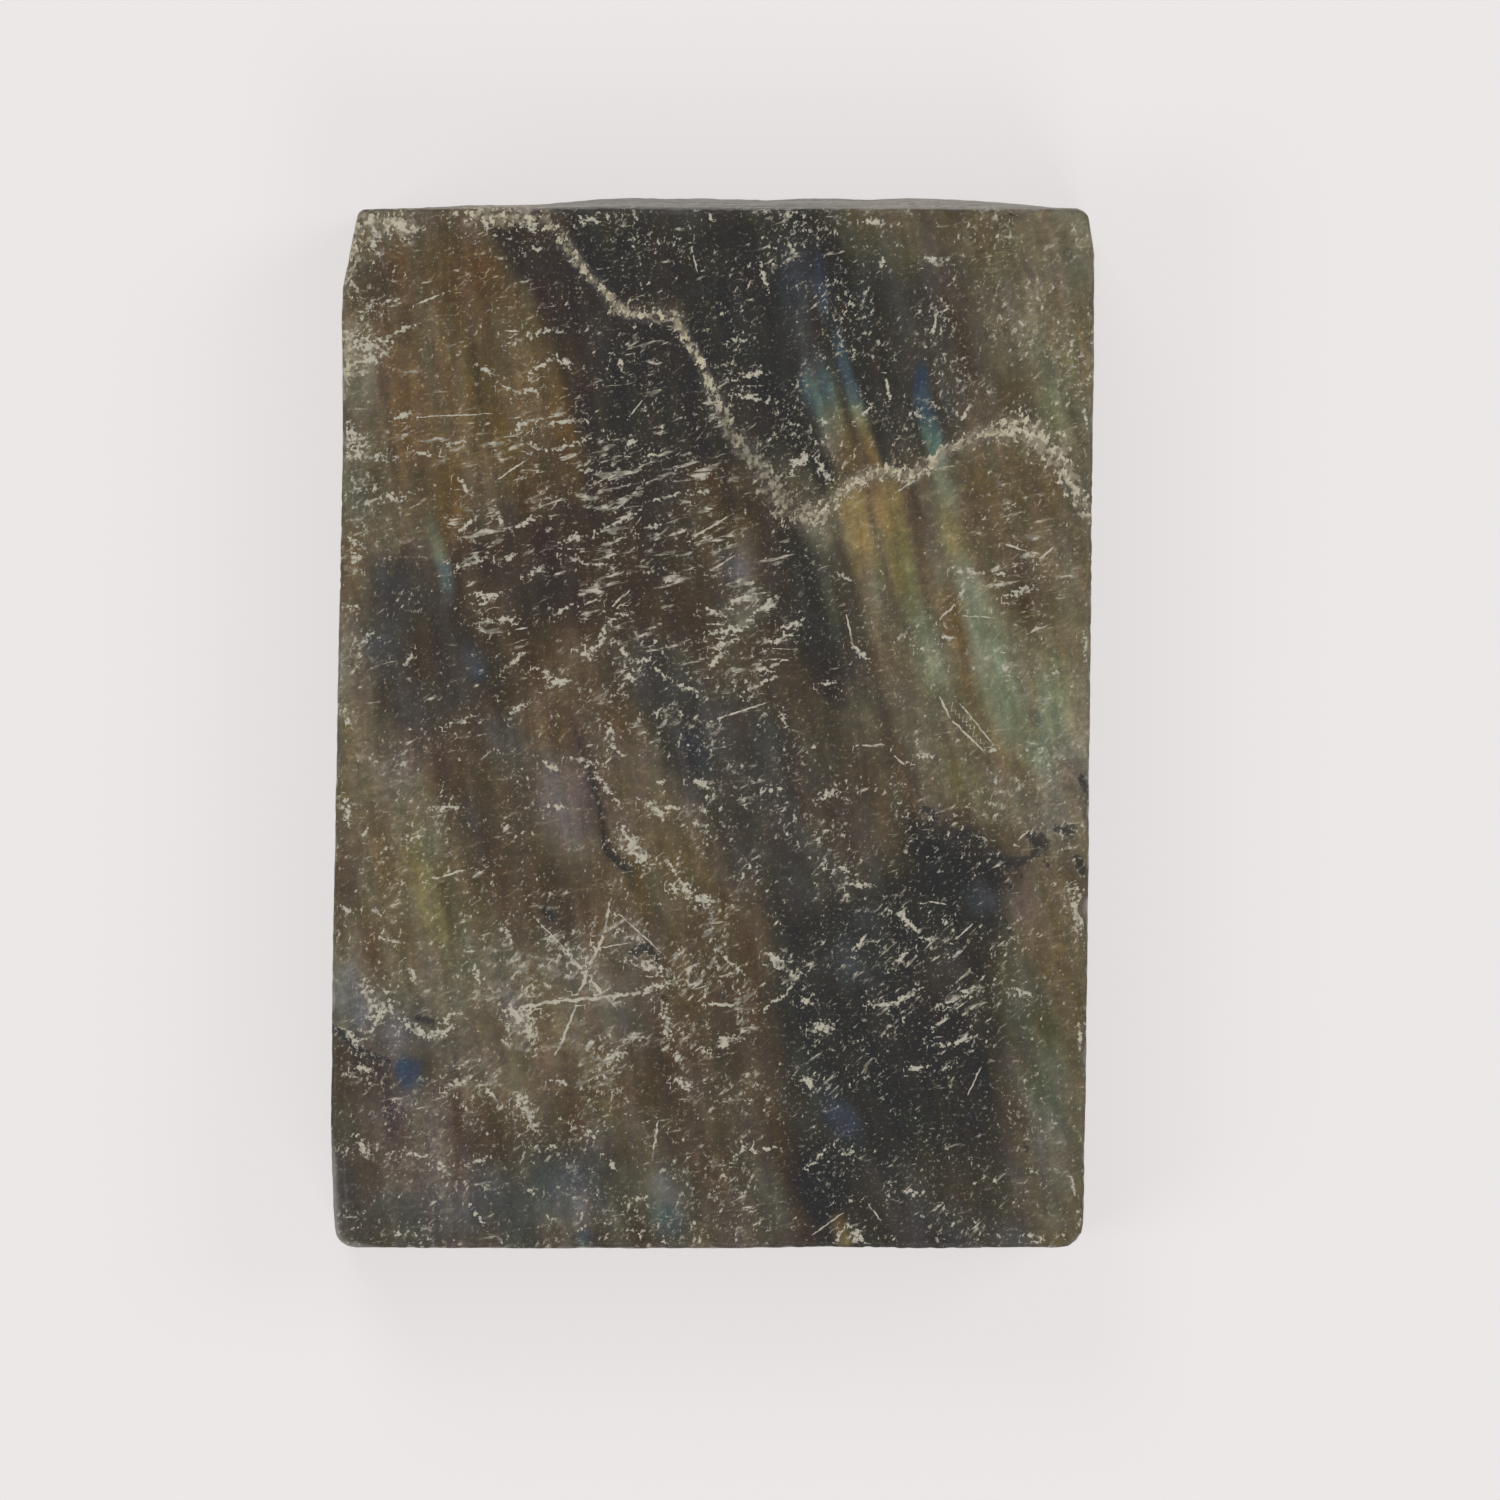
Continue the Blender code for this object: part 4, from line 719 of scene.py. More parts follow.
# Bold crumbs and scratches, by half width: (x, y) to (x, y).
MARKS = {
    0.017: ((-8.4, 8.85, -6.3, 8.95), (7.25, 3.1, 8.1, 3.05)),
    0.018: (
        (7.15, 0.55, 7.6, 0), (7.6, 0, 8.05, -0.55), (-5.1, -5.65, -4.3, -6.5), (-3.5, -6.52, -2.5, -6.36),
    ),
    0.019: ((2.9, -14.75, 3.85, -14.08),),
    0.02: ((-2.6, -5.6, -1.5, -6.6),),
    0.021: ((-2.35, 8.95, -2.05, 9.3), (5.25, -0.95, 5.55, -1.2), (-0.6, 13.65, -0.45, 13)),
    0.022: (
        (6.3, -5.15, 6.7, -5.22), (7.1, -7.75, 7.6, -7.6), (7.05, -6.2, 7.55, -5.75),
        (7.7, -10, 7.35, -10.75), (4.5, -13.9, 4.8, -14.3), (8.9, -3.3, 9.1, -3.1),
    ),
    0.025: ((3.85, 3.2, 4, 2.4), (0.05, 0.1, 1.55, 0.6)),
    0.026: ((6.5, 0.85, 6.85, 0.15),),
    0.028: (
        (-8.45, 12.15, -7.95, 12.35), (-5.95, 11.33, -5.65, 11.32), (-6.15, 7.1, -5.4, 7.6),
        (-0.5, 5.4, 0.4, 5.95), (-5.65, 2.72, -5.4, 2.74), (-3.65, 3.45, -3.35, 3.6),
        (-2.9, 3.4, -2.4, 3.85), (-8.1, -4.5, -7.05, -4.2), (0, 4.45, 0.55, 4.8), (1.6, 1.85, 2.2, 1.82),
        (6.65, 3.1, 7, 3.45), (8.5, 5.15, 9, 5), (9.5, 4.8, 9.85, 5.1), (9.1, 2.6, 9.6, 2.8),
        (5.35, 6.7, 5.8, 7), (4.3, -0.65, 4.9, -0.62), (6.45, 11.85, 6.8, 11.95), (4.2, 8.85, 4.6, 9.15),
        (8.85, 11.6, 8.95, 11.5),
    ),
    0.03: (
        (6.85, 0.15, 7.85, -0.84), (-3.65, -7.25, -3.9, -7.8), (-3.97, -8.2, -4.2, -8.8),
        (-5.2, -8.2, -5.3, -9.1),
    ),
    0.035: ((-3.6, -7.35, -2.9, -8.1), (-2.97, -5.05, -3.1, -5.9), (-1.6, -11.6, -1.72, -12.3)),
    0.04: ((0, -8.1, 0.6, -8.14),),
    0.042: ((-4.6, -8.05, -2.9, -7.88), (-4.2, -8.8, -4.5, -9.5)),
    0.046: ((-5.55, -8.2, -4.6, -8.05),),
    0.05: (
        (-9, 14, -8.95, 13.9), (-5.2, 13.72, -5, 13.7), (-9.6, 11.1, -8.6, 11.5),
        (-9.55, 12.15, -9.15, 12.25), (-8.75, 6.7, -8.65, 6.68), (-4.45, 11.32, -4.3, 11.3),
        (-6.05, 9.72, -5.75, 9.6), (-5.65, 9.5, -4.95, 9.7), (-4.85, 8.65, -3.85, 8.75),
        (-8.55, 7.85, -8.1, 7.7), (-5.3, 8.1, -4.9, 7.9), (-3.8, 7.28, -3.5, 7.28),
        (-7.25, 5.6, -6.85, 5.95), (-5.6, 5.7, -5.1, 5.95), (-6.2, 6, -6.1, 5.75), (-3.2, 5.6, -2.3, 6.05),
        (-1.9, 7.7, -1.6, 7.78), (-1.8, 6.4, -1.1, 6.6), (-6.7, 3.45, -6.35, 3.6), (-3.7, 4.6, -3.2, 4.62),
        (-2.7, 2.25, -2.45, 1.9), (-1.05, 1.1, -0.45, 0.95), (-6, 1.55, -5.45, 2.05),
        (-10.4, 3.4, -10.2, 3.3), (-8.7, 1.95, -8.85, 1.75), (-2.8, -0.8, -2.6, -0.9),
        (-4.1, -1, -3.6, -1.12), (-1.6, -1.75, -1.45, -1.7), (-1.3, -3.95, -1.05, -4.4),
        (0.1, 2.25, 0.6, 2.4), (1.35, 1.55, 1.85, 1.7), (1, 0.95, 1.7, 1.3), (5.3, 2.35, 5.65, 2.7),
        (3.7, 4.3, 3.95, 4.15), (8.1, 4.35, 8.4, 4.3), (9.85, 1.45, 10.05, 1.5), (7.9, -0.84, 8.2, -0.74),
        (5.9, -0.95, 6.25, -0.95), (6.45, 11.85, 6.35, 11.2), (5, 9.9, 5.1, 9.3), (4.85, 13.4, 4.9, 13.1),
        (7.2, 8.8, 7.45, 9.2), (10.7, 9.3, 10.8, 8.6), (1.45, 13.1, 1.55, 12.6), (2.2, 13.8, 2.35, 13.6),
        (-3.15, -6.1, -3.6, -7.1), (-9.5, -6.2, -9.1, -6.3), (-10.75, -5.3, -10.45, -5.45),
        (-2.65, -10.8, -2.4, -10.95), (-3, -12.65, -2.8, -12.9), (-8.7, -12.45, -8.3, -12.5),
        (-6.95, -14, -6.65, -14.4), (-6.6, -10.5, -6.3, -10.8), (0.3, -6.7, 0.85, -7.2),
        (6.15, -6.28, 6.4, -6.22), (1.65, -8.1, 2.05, -7.85), (2.15, -7.75, 2.5, -7.25),
        (6.25, -8.95, 6.85, -8.35), (6.4, -9.3, 6.9, -9.32), (6.95, -9.25, 7.5, -9.05),
        (6.65, -8.1, 7.3, -7.85), (0.7, -12.5, 0.95, -12.2), (1.2, -12.35, 1.75, -12.25),
        (10.35, -13.2, 10.5, -13.6), (3.6, -4.15, 3.9, -4.3),
    ),
    0.06: (
        (-0.08, 14.75, -0.02, 14.5), (-9.9, 11.2, -9.75, 10.4), (-10.35, 7.85, -9.95, 7.75),
        (-5.05, 11.28, -4.62, 11.4), (-5.85, 10.97, -5.6, 11.05), (-7.7, 8, -7.25, 8.15),
        (-4.65, 7.88, -3.75, 8.15), (-7.3, 7, -7, 6.65), (-1.95, 5.65, -1.5, 5.7),
        (-2.7, 10.45, -2.6, 10.2), (-10.4, 4.68, -10.15, 4.8), (-6, 4.75, -5.8, 4.85),
        (-6.85, 3.72, -6.1, 3.72), (-4.15, 4.8, -3.8, 4.68), (-4.5, 3.2, -4.2, 3.35),
        (-3.85, 2.05, -3.45, 1.85), (-1.65, 1.55, -1.35, 1.35), (-4.95, 1.55, -4.6, 1.3),
        (-7.6, -0.05, -7, 0.15), (-3.3, -1.55, -2.75, -2.3), (-8.75, -3.3, -8.35, -3.2),
        (-10.05, -3.2, -10, -3.05), (-0.1, 1.6, 0.3, 2.1), (1.2, 3.15, 1.75, 3.6), (2, 0.3, 2.1, -0.05),
        (6.05, 2.15, 6.4, 2.1), (3.15, 1.15, 3.5, 1.15), (7.25, 4.05, 7.18, 3.7), (6.7, 2.5, 6.85, 2.45),
        (0.8, 10.05, 1.45, 10.1), (0.6, 11.05, 0.9, 11.05), (-2.9, -7.88, -2.1, -7.76),
        (-6.1, -5.9, -5.8, -6.3), (-9.8, -5.35, -9.6, -5.5), (-6.9, -12.65, -6.55, -12.55),
        (-2.25, -13.75, -1.95, -13.7), (-5.2, -13.55, -5.35, -13.45), (-4.55, -10.35, -4.3, -10.4),
        (5.65, -5.75, 5.9, -5.98), (4.15, -6.45, 4.35, -6.22), (5.3, -8.05, 5.9, -7.7),
        (5.2, -6.95, 5.65, -6.65), (2.85, -12.7, 3.25, -12.3), (3.55, -14.95, 3.75, -14.6),
        (5.55, -13.5, 5.85, -13.6), (10.6, -8.8, 10.62, -9.4),
    ),
    0.07: (
        (-9.85, 13.9, -9.7, 13.55), (-10.45, 12.7, -10.3, 12.55), (-10.5, 5.35, -10.25, 5.2),
        (-5.15, 10.22, -4.68, 10.52), (-6.6, 10.25, -6.4, 10.1), (-7.2, 4.58, -6.65, 4.78),
        (-5.3, 4.35, -4.9, 4.45), (-6.45, 2.98, -5.75, 3.02), (-3.05, 2.9, -3.2, 2.45),
        (-2.2, 1.8, -1.9, 1.85), (-5.8, 0.25, -5.45, 0.55), (-10.25, 2.25, -9.9, 2.55),
        (-10.6, 0.25, -10.5, -0.05), (-4.7, -2.38, -4.35, -2.4), (-4.8, -1.2, -4.6, -1.3),
        (-1.2, -2.4, -1, -2.45), (-0.2, 3.3, 0.3, 3.1), (0.55, 3.5, 1.1, 3.68), (4.05, 2.2, 4.4, 1.9),
        (7.05, 4.45, 7.6, 4.35), (8.45, 1.75, 8.5, 1.4), (3, 7.6, 3.4, 7), (-8, -12.7, -7.75, -12.85),
        (-0.3, -5.15, 0.05, -5.15), (4.65, -8.1, 5.3, -8.05), (3.8, -12.35, 4.05, -12.45),
        (1.5, -1.95, 1.95, -1.9),
    ),
    0.08: (
        (-6.62, 14.6, -6.5, 14.3), (-10.2, 11.6, -10.35, 11.35), (-10.55, 7.75, -9.35, 7.65),
        (-9.3, 6.55, -9.1, 6.45), (-4.3, 10.45, -4.15, 10.28), (-5.6, 8.55, -5.35, 8.7),
        (-2.4, 8.05, -2.3, 8.2), (-0.5, 6.62, -0.2, 6.7), (-2.75, 3.15, -2.45, 3.18),
        (-3.35, 2.2, -3.6, 2.05), (-2.5, 1.4, -2.3, 1.2), (-4.75, 1.1, -4.2, 1.25),
        (-2.98, -0.15, -2.9, -0.6), (-0.5, -1.65, -0.2, -1.8), (-8, -2.45, -7.5, -2.42),
        (1.7, 2.38, 2.15, 2.42), (2.15, 2.75, 2.55, 2.92), (8.6, 3.72, 9.1, 3.88), (0.8, 9.5, 1.3, 9.4),
        (4.5, 14.5, 4.85, 14.45), (-5.5, -8.75, -5.35, -8.95), (-4.3, -6.5, -3.6, -7.35),
        (-9.2, -8.35, -9.55, -8.05), (-7.7, -8.5, -7.3, -8.35), (-6.9, -7.1, -6.75, -7.4),
        (-3.75, -11.7, -3.5, -11.9), (-7.6, -10.45, -7.2, -10.35), (2.65, -8, 2.8, -8.08),
        (8.8, -7.75, 9.1, -7.85), (5.8, -9.95, 6, -10), (9.15, -14.8, 9.45, -14.9), (4, -4.6, 4.5, -4.7),
    ),
    0.09: (
        (-4.2, 5.3, -3.8, 5.38), (-2.5, -3.1, -2.3, -3.5), (-10.6, -2.35, -10.55, -2.8),
        (0, 2.6, 0.95, 2.8), (10.8, 2.4, 10.85, 1.8), (6.2, 13.4, 6.5, 13.35), (-2.1, -7.76, -1.3, -7.52),
        (-8.75, -7.1, -8.65, -7.35),
    ),
    0.1: (
        (-3.75, 14.55, -3.4, 14.5), (-9.05, 8.9, -8.75, 8.92), (-1.9, -2.35, -1.5, -2.6),
        (-2.3, -6.9, -1.45, -7.1), (-9.45, -8.05, -9.8, -8.8), (-8.9, -8.65, -8.25, -9.05),
        (-8.25, -9.05, -7.6, -8.85), (-10.2, -9.95, -9.95, -10), (-10.2, -12.1, -10, -12.4),
        (-0.95, -10.35, -0.75, -10.45), (-1.4, -8.2, -1.3, -9), (2.65, -10.25, 2.9, -10.5),
        (4, -14.6, 4.3, -14.95), (3.2, -2.1, 3.5, -2),
    ),
    0.11: ((-5.4, 14.45, -5.15, 14.3), (-10.55, -8.95, -10.35, -9.2), (1.7, -6.75, 2.05, -7.05)),
    0.12: (
        (-9.95, 14.6, -9.7, 14.1), (-10.1, 10.5, -9.7, 10.6), (-0.6, -4.95, -0.1, -5.1),
        (2.3, 7.45, 2.7, 7.75), (-2.9, -9.6, -2.7, -9.55), (5.45, -5.5, 5.6, -5.75),
    ),
    0.13: ((-5.9, -8.3, -5.3, -8.55),),
    0.14: ((-10, -7.6, -9.8, -8.5), (0.1, -9.25, 0.6, -9.15), (3.02, -8.8, 3.35, -8.82)),
    0.15: ((-2.3, -3.65, -1.95, -4), (-1, -4.75, -0.7, -4.9)),
    0.16: ((-9.15, 14.45, -8.75, 14.2), (-10.7, 8.5, -10.3, 8.25), (-5.5, -11, -5.2, -11.6)),
    # A pale chip at the right rim, made wide and bright to stand in also for the highlight on it: partly a
    # real pale chip, partly a painted highlight.
    0.18: ((10.52, -5, 10.62, -5.85),),
    0.2: ((-10.35, 10.95, -9.6, 10.85),),
}

# Dark fissures, thin dark lamellae and black grains: places (x, y, half width).
FISSURES = (
    ((-4.15, 0.3, 0.02), (-3.85, -0.7, 0.03), (-3.6, -1.4, 0.04), (-3.25, -2.6, 0.05), (-3.1, -3.7, 0.05),
     (-2.7, -4.1, 0.07), (-2.3, -4.4, 0.04)),
    ((8.35, -5.6, 0.05), (8.6, -6, 0.07)), ((8.5, -4.6, 0.05), (8.62, -4.78, 0.06)),
    ((8.88, -4.36, 0.06), (8.96, -4.52, 0.05)), ((9.6, -4, 0.05), (9.72, -4.16, 0.06)),
    ((-11.2, -8.7, 0.1), (-10.8, -8.9, 0.12), (-10.3, -9.4, 0.07), (-9.8, -9.65, 0.12),
     (-9.3, -9.75, 0.06)),
    ((-8.5, -8.5, 0.1), (-8.15, -8.65, 0.12)), ((-4.85, -5.4, 0.14), (-4.65, -5.6, 0.16)),
    ((-2.3, -6.6, 0.12), (-1.9, -6.45, 0.14), (-1.6, -6.8, 0.08)),
    ((-1.65, -7.75, 0.06), (-1.3, -8, 0.05)),
    ((6.05, -2.45, 0.12), (6.45, -2.65, 0.12), (6.05, -3.2, 0.12)),
    ((6.9, -3.4, 0.1), (7.3, -3.15, 0.16), (7.8, -3.4, 0.1)),
    ((8.05, -3.85, 0.16), (8.6, -4.05, 0.2), (9.05, -3.95, 0.12)),
    ((9.15, -3.2, 0.12), (9.45, -3.45, 0.26), (9.3, -3.8, 0.14)), ((10, -3.05, 0.14), (10.3, -3.1, 0.2)),
    ((10.5, -3.9, 0.12), (10.7, -4.25, 0.16)), ((10.65, -1.6, 0.12), (10.8, -1.9, 0.14)),
    ((6.2, -4.1, 0.08), (6.9, -4.2, 0.05)), ((2.9, -13.3, 0.06), (3.3, -13.3, 0.1)),
    ((8.95, -12.1, 0.05), (9.05, -12.3, 0.08)), ((7.45, -11.3, 0.08), (7.55, -11.5, 0.06)),
)

# How thickly each part of the face is strewn: dashes lying low, dashes lying steep, and crumbs, from
# none at 0 to crowded at 1, then the softness of the part's edge and its corners.
SCUFF_BASE = (0.35, 0.25, 0.45)
SCUFFS = (
    (0.45, 0.12, 0.3, 0.6, (-9.4, 14), (-6.5, 14), (-4.6, 12.4), (-3.9, 9.2), (-9.2, 9.2)),
    (0.85, 0.1, 0.4, 0.6, (-9.4, 9.2), (-3.8, 9.2), (-3.6, 5.8), (-9.4, 5.8)),
    (0.25, 0.4, 0.85, 0.5, (-3.4, 14.8), (7.4, 14.8), (7.2, 8.4), (3.4, 6.4), (0.6, 8.4), (-0.9, 11.8)),
    (0.8, 0.2, 0.55, 0.5, (-4.4, 11.6), (-1, 11.6), (1.6, 7.2), (1.8, 5.4), (-3.6, 5.4)),
    (0.25, 0.3, 0.85, 0.6, (7, 14.8), (11.6, 14.8), (11.6, 8.2), (7, 8.4)),
    (1, 0.3, 0.5, 0.6, (-7.6, 6), (-1, 8), (2.2, 6), (2.4, 0.4), (-0.6, 2), (-7.4, 2.2)),
    (0.3, 0.15, 0.45, 0.6, (-9.6, 4.8), (-7.4, 4.8), (-6.8, 1.4), (-8.4, -0.6), (-9.6, 0.4)),
    (0.4, 0.7, 0.9, 0.6, (-4.6, 2.2), (1.6, 1.2), (2.2, -4.6), (-3, -5), (-3.4, -0.6)),
    (0.15, 0.12, 0.35, 0.5, (2.4, 5.6), (4.4, 7), (7.2, 7.2), (8.8, 2.4), (10.8, 2.4), (10.8, -0.6),
     (2.8, -0.2)),
    (0.65, 0.15, 0.45, 0.4, (7.4, 6.8), (8.8, 8.2), (10.8, 6), (10.8, 2.4), (8.4, 2.6)),
    (0.35, 0.3, 0.8, 0.6, (2.6, -0.4), (10.8, -0.6), (10.8, -3.4), (5, -2.8), (4.6, -4.4), (1.8, -4.6)),
    (0.4, 0.2, 0.65, 0.7, (-11.2, 0.2), (-6.4, -0.6), (-5.4, -7), (-11.2, -7)),
    (0.6, 1, 1, 0.6, (-6.6, -6.4), (0.8, -4.8), (1.4, -10.4), (-7.4, -10.8)),
    (0.35, 0.5, 0.75, 0.7, (-8.6, -10.8), (1.8, -10.4), (2.6, -15.4), (-8.6, -15.4)),
    (0.3, 0.4, 0.75, 0.7, (-11.2, -9.6), (-8.4, -9.4), (-8.4, -15.4), (-11.2, -15.4)),
    (0.2, 0.8, 0.6, 0.6, (1.6, -5), (9, -4.2), (8.2, -10.2), (2.4, -10.4)),
    (0.1, 0.35, 0.4, 0.6, (2.4, -10.4), (8.4, -10.2), (8.4, -12.9), (2.6, -12.9)),
    (0.2, 0.35, 0.75, 0.5, (3.8, -12.9), (8.4, -12.9), (8.4, -15.4), (3.8, -15.4)),
    (0.2, 0.3, 0.65, 0.6, (8.6, -4.4), (11.2, -4), (11.2, -15.4), (8.4, -15.4)),
    (0.8, 0.3, 1, 0.5, (-11.6, 15.4), (-9.6, 15.4), (-9.5, 8), (-9.8, 4.6), (-10.2, 0), (-11.6, 0)),
    (0.5, 0.2, 1, 0.3, (-11.6, 15.4), (11.6, 15.4), (11.6, 14.4), (-11.6, 14.4)),
)


# Distances from veins and fissures are kept up to this many half widths, and from a mark's edge up
# to this many millimetres. Where no mark is near, its place is set far off. A thin mark is a scratch.
VEIN_REACH = 6.0
MARK_REACH = 0.26
MARK_FAR = 4.0
SCRATCH_HALF = 0.048
NO_MARK, CRUMB, SCRATCH = 0.0, 1.0, 2.0


def nearest_path(x, y, paths):
    """Distance from the nearest path, in half widths of it, and the last of its values there."""
    ratio, strength = np.full(len(x), VEIN_REACH), np.zeros(len(x))
    for places in paths:
        distance, _, _, values = from_path(x, y, places)
        nearer = distance / values[:, 0] < ratio
        ratio[nearer] = (distance / values[:, 0])[nearer]
        strength[nearer] = values[nearer, -1]
    return ratio, strength


veins, vein_strength = nearest_path(across_stone, along_stone, VEINS)
fissures, _ = nearest_path(across_stone, along_stone, FISSURES)

# Each point's place along and across its nearest mark, 1 at the mark's edge, and the mark's kind.
mark_place = np.full((len(points), 3), MARK_FAR)
mark_place[:, 2] = NO_MARK
mark_distance = np.full(len(points), MARK_REACH)
for half, group in MARKS.items():
    for start_x, start_y, end_x, end_y in group:
        away, _ = from_line(across_stone, along_stone, (start_x, start_y), (end_x, end_y))
        nearer = (away - half < mark_distance) & on_face
        length = math.hypot(end_x - start_x, end_y - start_y)
        run, rise = (end_x - start_x) / length, (end_y - start_y) / length
        from_x = across_stone[nearer] - (start_x + end_x) / 2
        from_y = along_stone[nearer] - (start_y + end_y) / 2
        mark_distance[nearer] = away[nearer] - half
        mark_place[nearer, 0] = (from_x * run + from_y * rise) / (length / 2 + half)
        mark_place[nearer, 1] = (from_y * run - from_x * rise) / half
        mark_place[nearer, 2] = SCRATCH if half < SCRATCH_HALF else CRUMB

scuffs = np.zeros((len(points), 3))
scuffs[:] = SCUFF_BASE
for low_dash, steep_dash, crumb, softness, *corners in SCUFFS:
    cover = patch_cover(across_stone, along_stone, corners, softness)[:, None]
    scuffs += cover * ((low_dash, steep_dash, crumb) - scuffs)


# The crumbling.
# Veins, crumbs and fissures have broken out a little below the sawn face, and the sawn sides carry
# the blade's ridges, so the block's points are moved by a few hundredths of a millimetre.

# How deep each hollow is, and how many half widths from its middle it ends.
VEIN_DEPTH, VEIN_END = 0.07, 1.6
MARK_DEPTH, MARK_END = 0.04, 1.4
FISSURE_END = 1.5
FACE_GRAIN = 0.012
# The blade's ridges run round the sides. Near the face they fade and the edge crumbles.
RIDGE_PITCH = 0.42
RIDGE_DEPTH = 0.022
RIDGE_SQUEEZE = 0.08
RIM_HEIGHT = 0.5
RIM_CRUMBLE = 0.07
# The depth at which the side's sawn finish starts, and over which it comes on.
SAWN_START, SAWN_EASE = 0.12, 0.25

x, y, z = points.T
broken = ease(VEIN_END - veins) * vein_strength * VEIN_DEPTH * (0.55 + 0.45 * drift(x, y, 0.16, 11))
mark_ratio = np.hypot(mark_place[:, 0], mark_place[:, 1])
broken += ease(MARK_END - mark_ratio) * (mark_place[:, 2] > NO_MARK) * MARK_DEPTH
broken += ease(FISSURE_END - fissures) * MARK_DEPTH
broken += FACE_GRAIN * (0.5 + 0.5 * drift(x, y, 0.24, 12))
points[on_face, 2] -= broken[on_face]

along_rim = np.where(np.abs(wall_out[:, 0]) > np.abs(wall_out[:, 1]), y, x)
ridges = RIDGE_DEPTH * drift(along_rim * RIDGE_SQUEEZE, z, RIDGE_PITCH, 13)
ridges += 0.5 * RIDGE_DEPTH * drift(along_rim, z, 0.25, 14)
near_face = ease(1.0 - depth / RIM_HEIGHT)
crumble = RIM_CRUMBLE * near_face * np.maximum(drift(along_rim, x - y, 0.3, 15) - 0.1, 0.0)
points += wall_out * (ridges * (1.0 - 0.7 * near_face) - crumble)[:, None]


def keep(name, kind, values):
    """Keep one value for each of the block's points under a name that the finish reads."""
    record = slab_mesh.attributes.new(name, kind, "POINT")
    field = {"FLOAT": "value", "FLOAT_VECTOR": "vector", "FLOAT_COLOR": "color"}[kind]
    record.data.foreach_set(field, np.ascontiguousarray(values, np.float32).ravel())


keep("tint", "FLOAT_COLOR", np.column_stack((tint, np.ones(len(tint)))))
keep("vein", "FLOAT_VECTOR", np.column_stack((veins, vein_strength, np.zeros(len(veins)))))
keep("fissure", "FLOAT", fissures)
keep("mark", "FLOAT_VECTOR", mark_place)
keep("scuffs", "FLOAT_VECTOR", scuffs)
keep("sawn", "FLOAT", ease((depth - SAWN_START) / SAWN_EASE) * ~on_face)
slab_mesh.vertices.foreach_set("co", (points * MM).ravel())
for face in slab_mesh.polygons:
    face.use_smooth = True


# The stone's finish.
# A dull sawn and rubbed face. Torn flecks where splinters of the feldspar have lifted show pale, as
# do the crushed veins, and the sawn sides are dusty.

FLECK = (0.42, 0.39, 0.31, 1.0)
FLECK_DIM = (0.155, 0.142, 0.110, 1.0)
VEIN_PALE = (0.47, 0.420, 0.305, 1.0)
VEIN_BAND = (0.250, 0.212, 0.145, 1.0)
WALL_DUST = (0.36, 0.34, 0.31, 1.0)
CRACK = (0.006, 0.006, 0.006, 1.0)
# Roughness of the rubbed stone and of its torn and sawn places, and how far its grain stands up.
RUBBED, TORN = 0.42, 0.75
TOOTH_HEIGHT = 0.00006
# The grain's level above which a fleck shows, where flecks are rare and where they crowd.
FLECK_RARE = 0.66
DASH_CROWDED = 0.530
CRUMB_CROWDED = 0.535

stone = bpy.data.materials.new("labradorite")
stone.use_nodes = True
stone_tree = stone.node_tree
stone_shader = stone_tree.nodes["Principled BSDF"]


def fit(kind, sockets, output=0, **settings):
    """Add one node to the stone's finish, set or join its sockets, and hand back an output."""
    node = stone_tree.nodes.new("ShaderNode" + kind)
    for name, value in settings.items():
        setattr(node, name, value)
    for socket, value in sockets.items():
        if isinstance(value, bpy.types.NodeSocket):
            stone_tree.links.new(value, node.inputs[socket])
        else:
            node.inputs[socket].default_value = value
    return node.outputs[output]


def reckon(operation, *terms):
    return fit("Math", dict(enumerate(terms)), operation=operation)


def move(operation, *terms):
    return fit("VectorMath", dict(enumerate(terms)), operation=operation)


def parts(vector):
    """The three parts of a vector."""
    return [fit("SeparateXYZ", {0: vector}, output=part) for part in range(3)]


def cut_off(value, low, high):
    """From 0 at one level to 1 at the other, eased between them."""
    return fit("MapRange", {0: value, 1: low, 2: high}, interpolation_type="SMOOTHSTEP")


def graded(value, low, high, at_low, at_high):
    """From one value at the low level straight to another at the high one."""
    return fit("MapRange", {0: value, 1: low, 2: high, 3: at_low, 4: at_high})


def blend(cover, under, over):
    return fit("Mix", {0: cover, 6: under, 7: over}, output=2, data_type="RGBA")


def read(name, output=2):
    """What the block's points keep: a colour from output 0, a vector from 1, a number from 2."""
    return fit("Attribute", {}, output=output, attribute_name=name)


def grain(place, scale, detail=2.0, roughness=0.5, distortion=0.0, colour=False):
    return fit("TexNoise", {
        "Vector": place, "Scale": scale, "Detail": detail, "Roughness": roughness,
        "Distortion": distortion,
    }, output=int(colour))


place = fit("TexCoord", {}, output=3)
in_mm = fit("VectorMath", {0: place, 3: 1 / MM}, operation="SCALE")


def turned(angle, stretch):
    """The block's coordinates in millimetres, turned about z and stretched along the new axes."""
    spin = {"Vector": in_mm, "Angle": math.radians(-angle)}
    return move("MULTIPLY", fit("VectorRotate", spin, rotation_type="Z_AXIS"), stretch)


clumped = cut_off(grain(in_mm, 0.9, detail=2.0, roughness=0.6), 0.36, 0.62)
tear = grain(in_mm, 9.0, detail=3.0, roughness=0.7)


def torn(streaks, density, crowded):
    """How far a grain rises over a level that falls as torn flecks lie thicker."""
    level = graded(reckon("MULTIPLY", density, clumped), 0.0, 1.0, FLECK_RARE, crowded)
    return reckon("SUBTRACT", streaks, level)


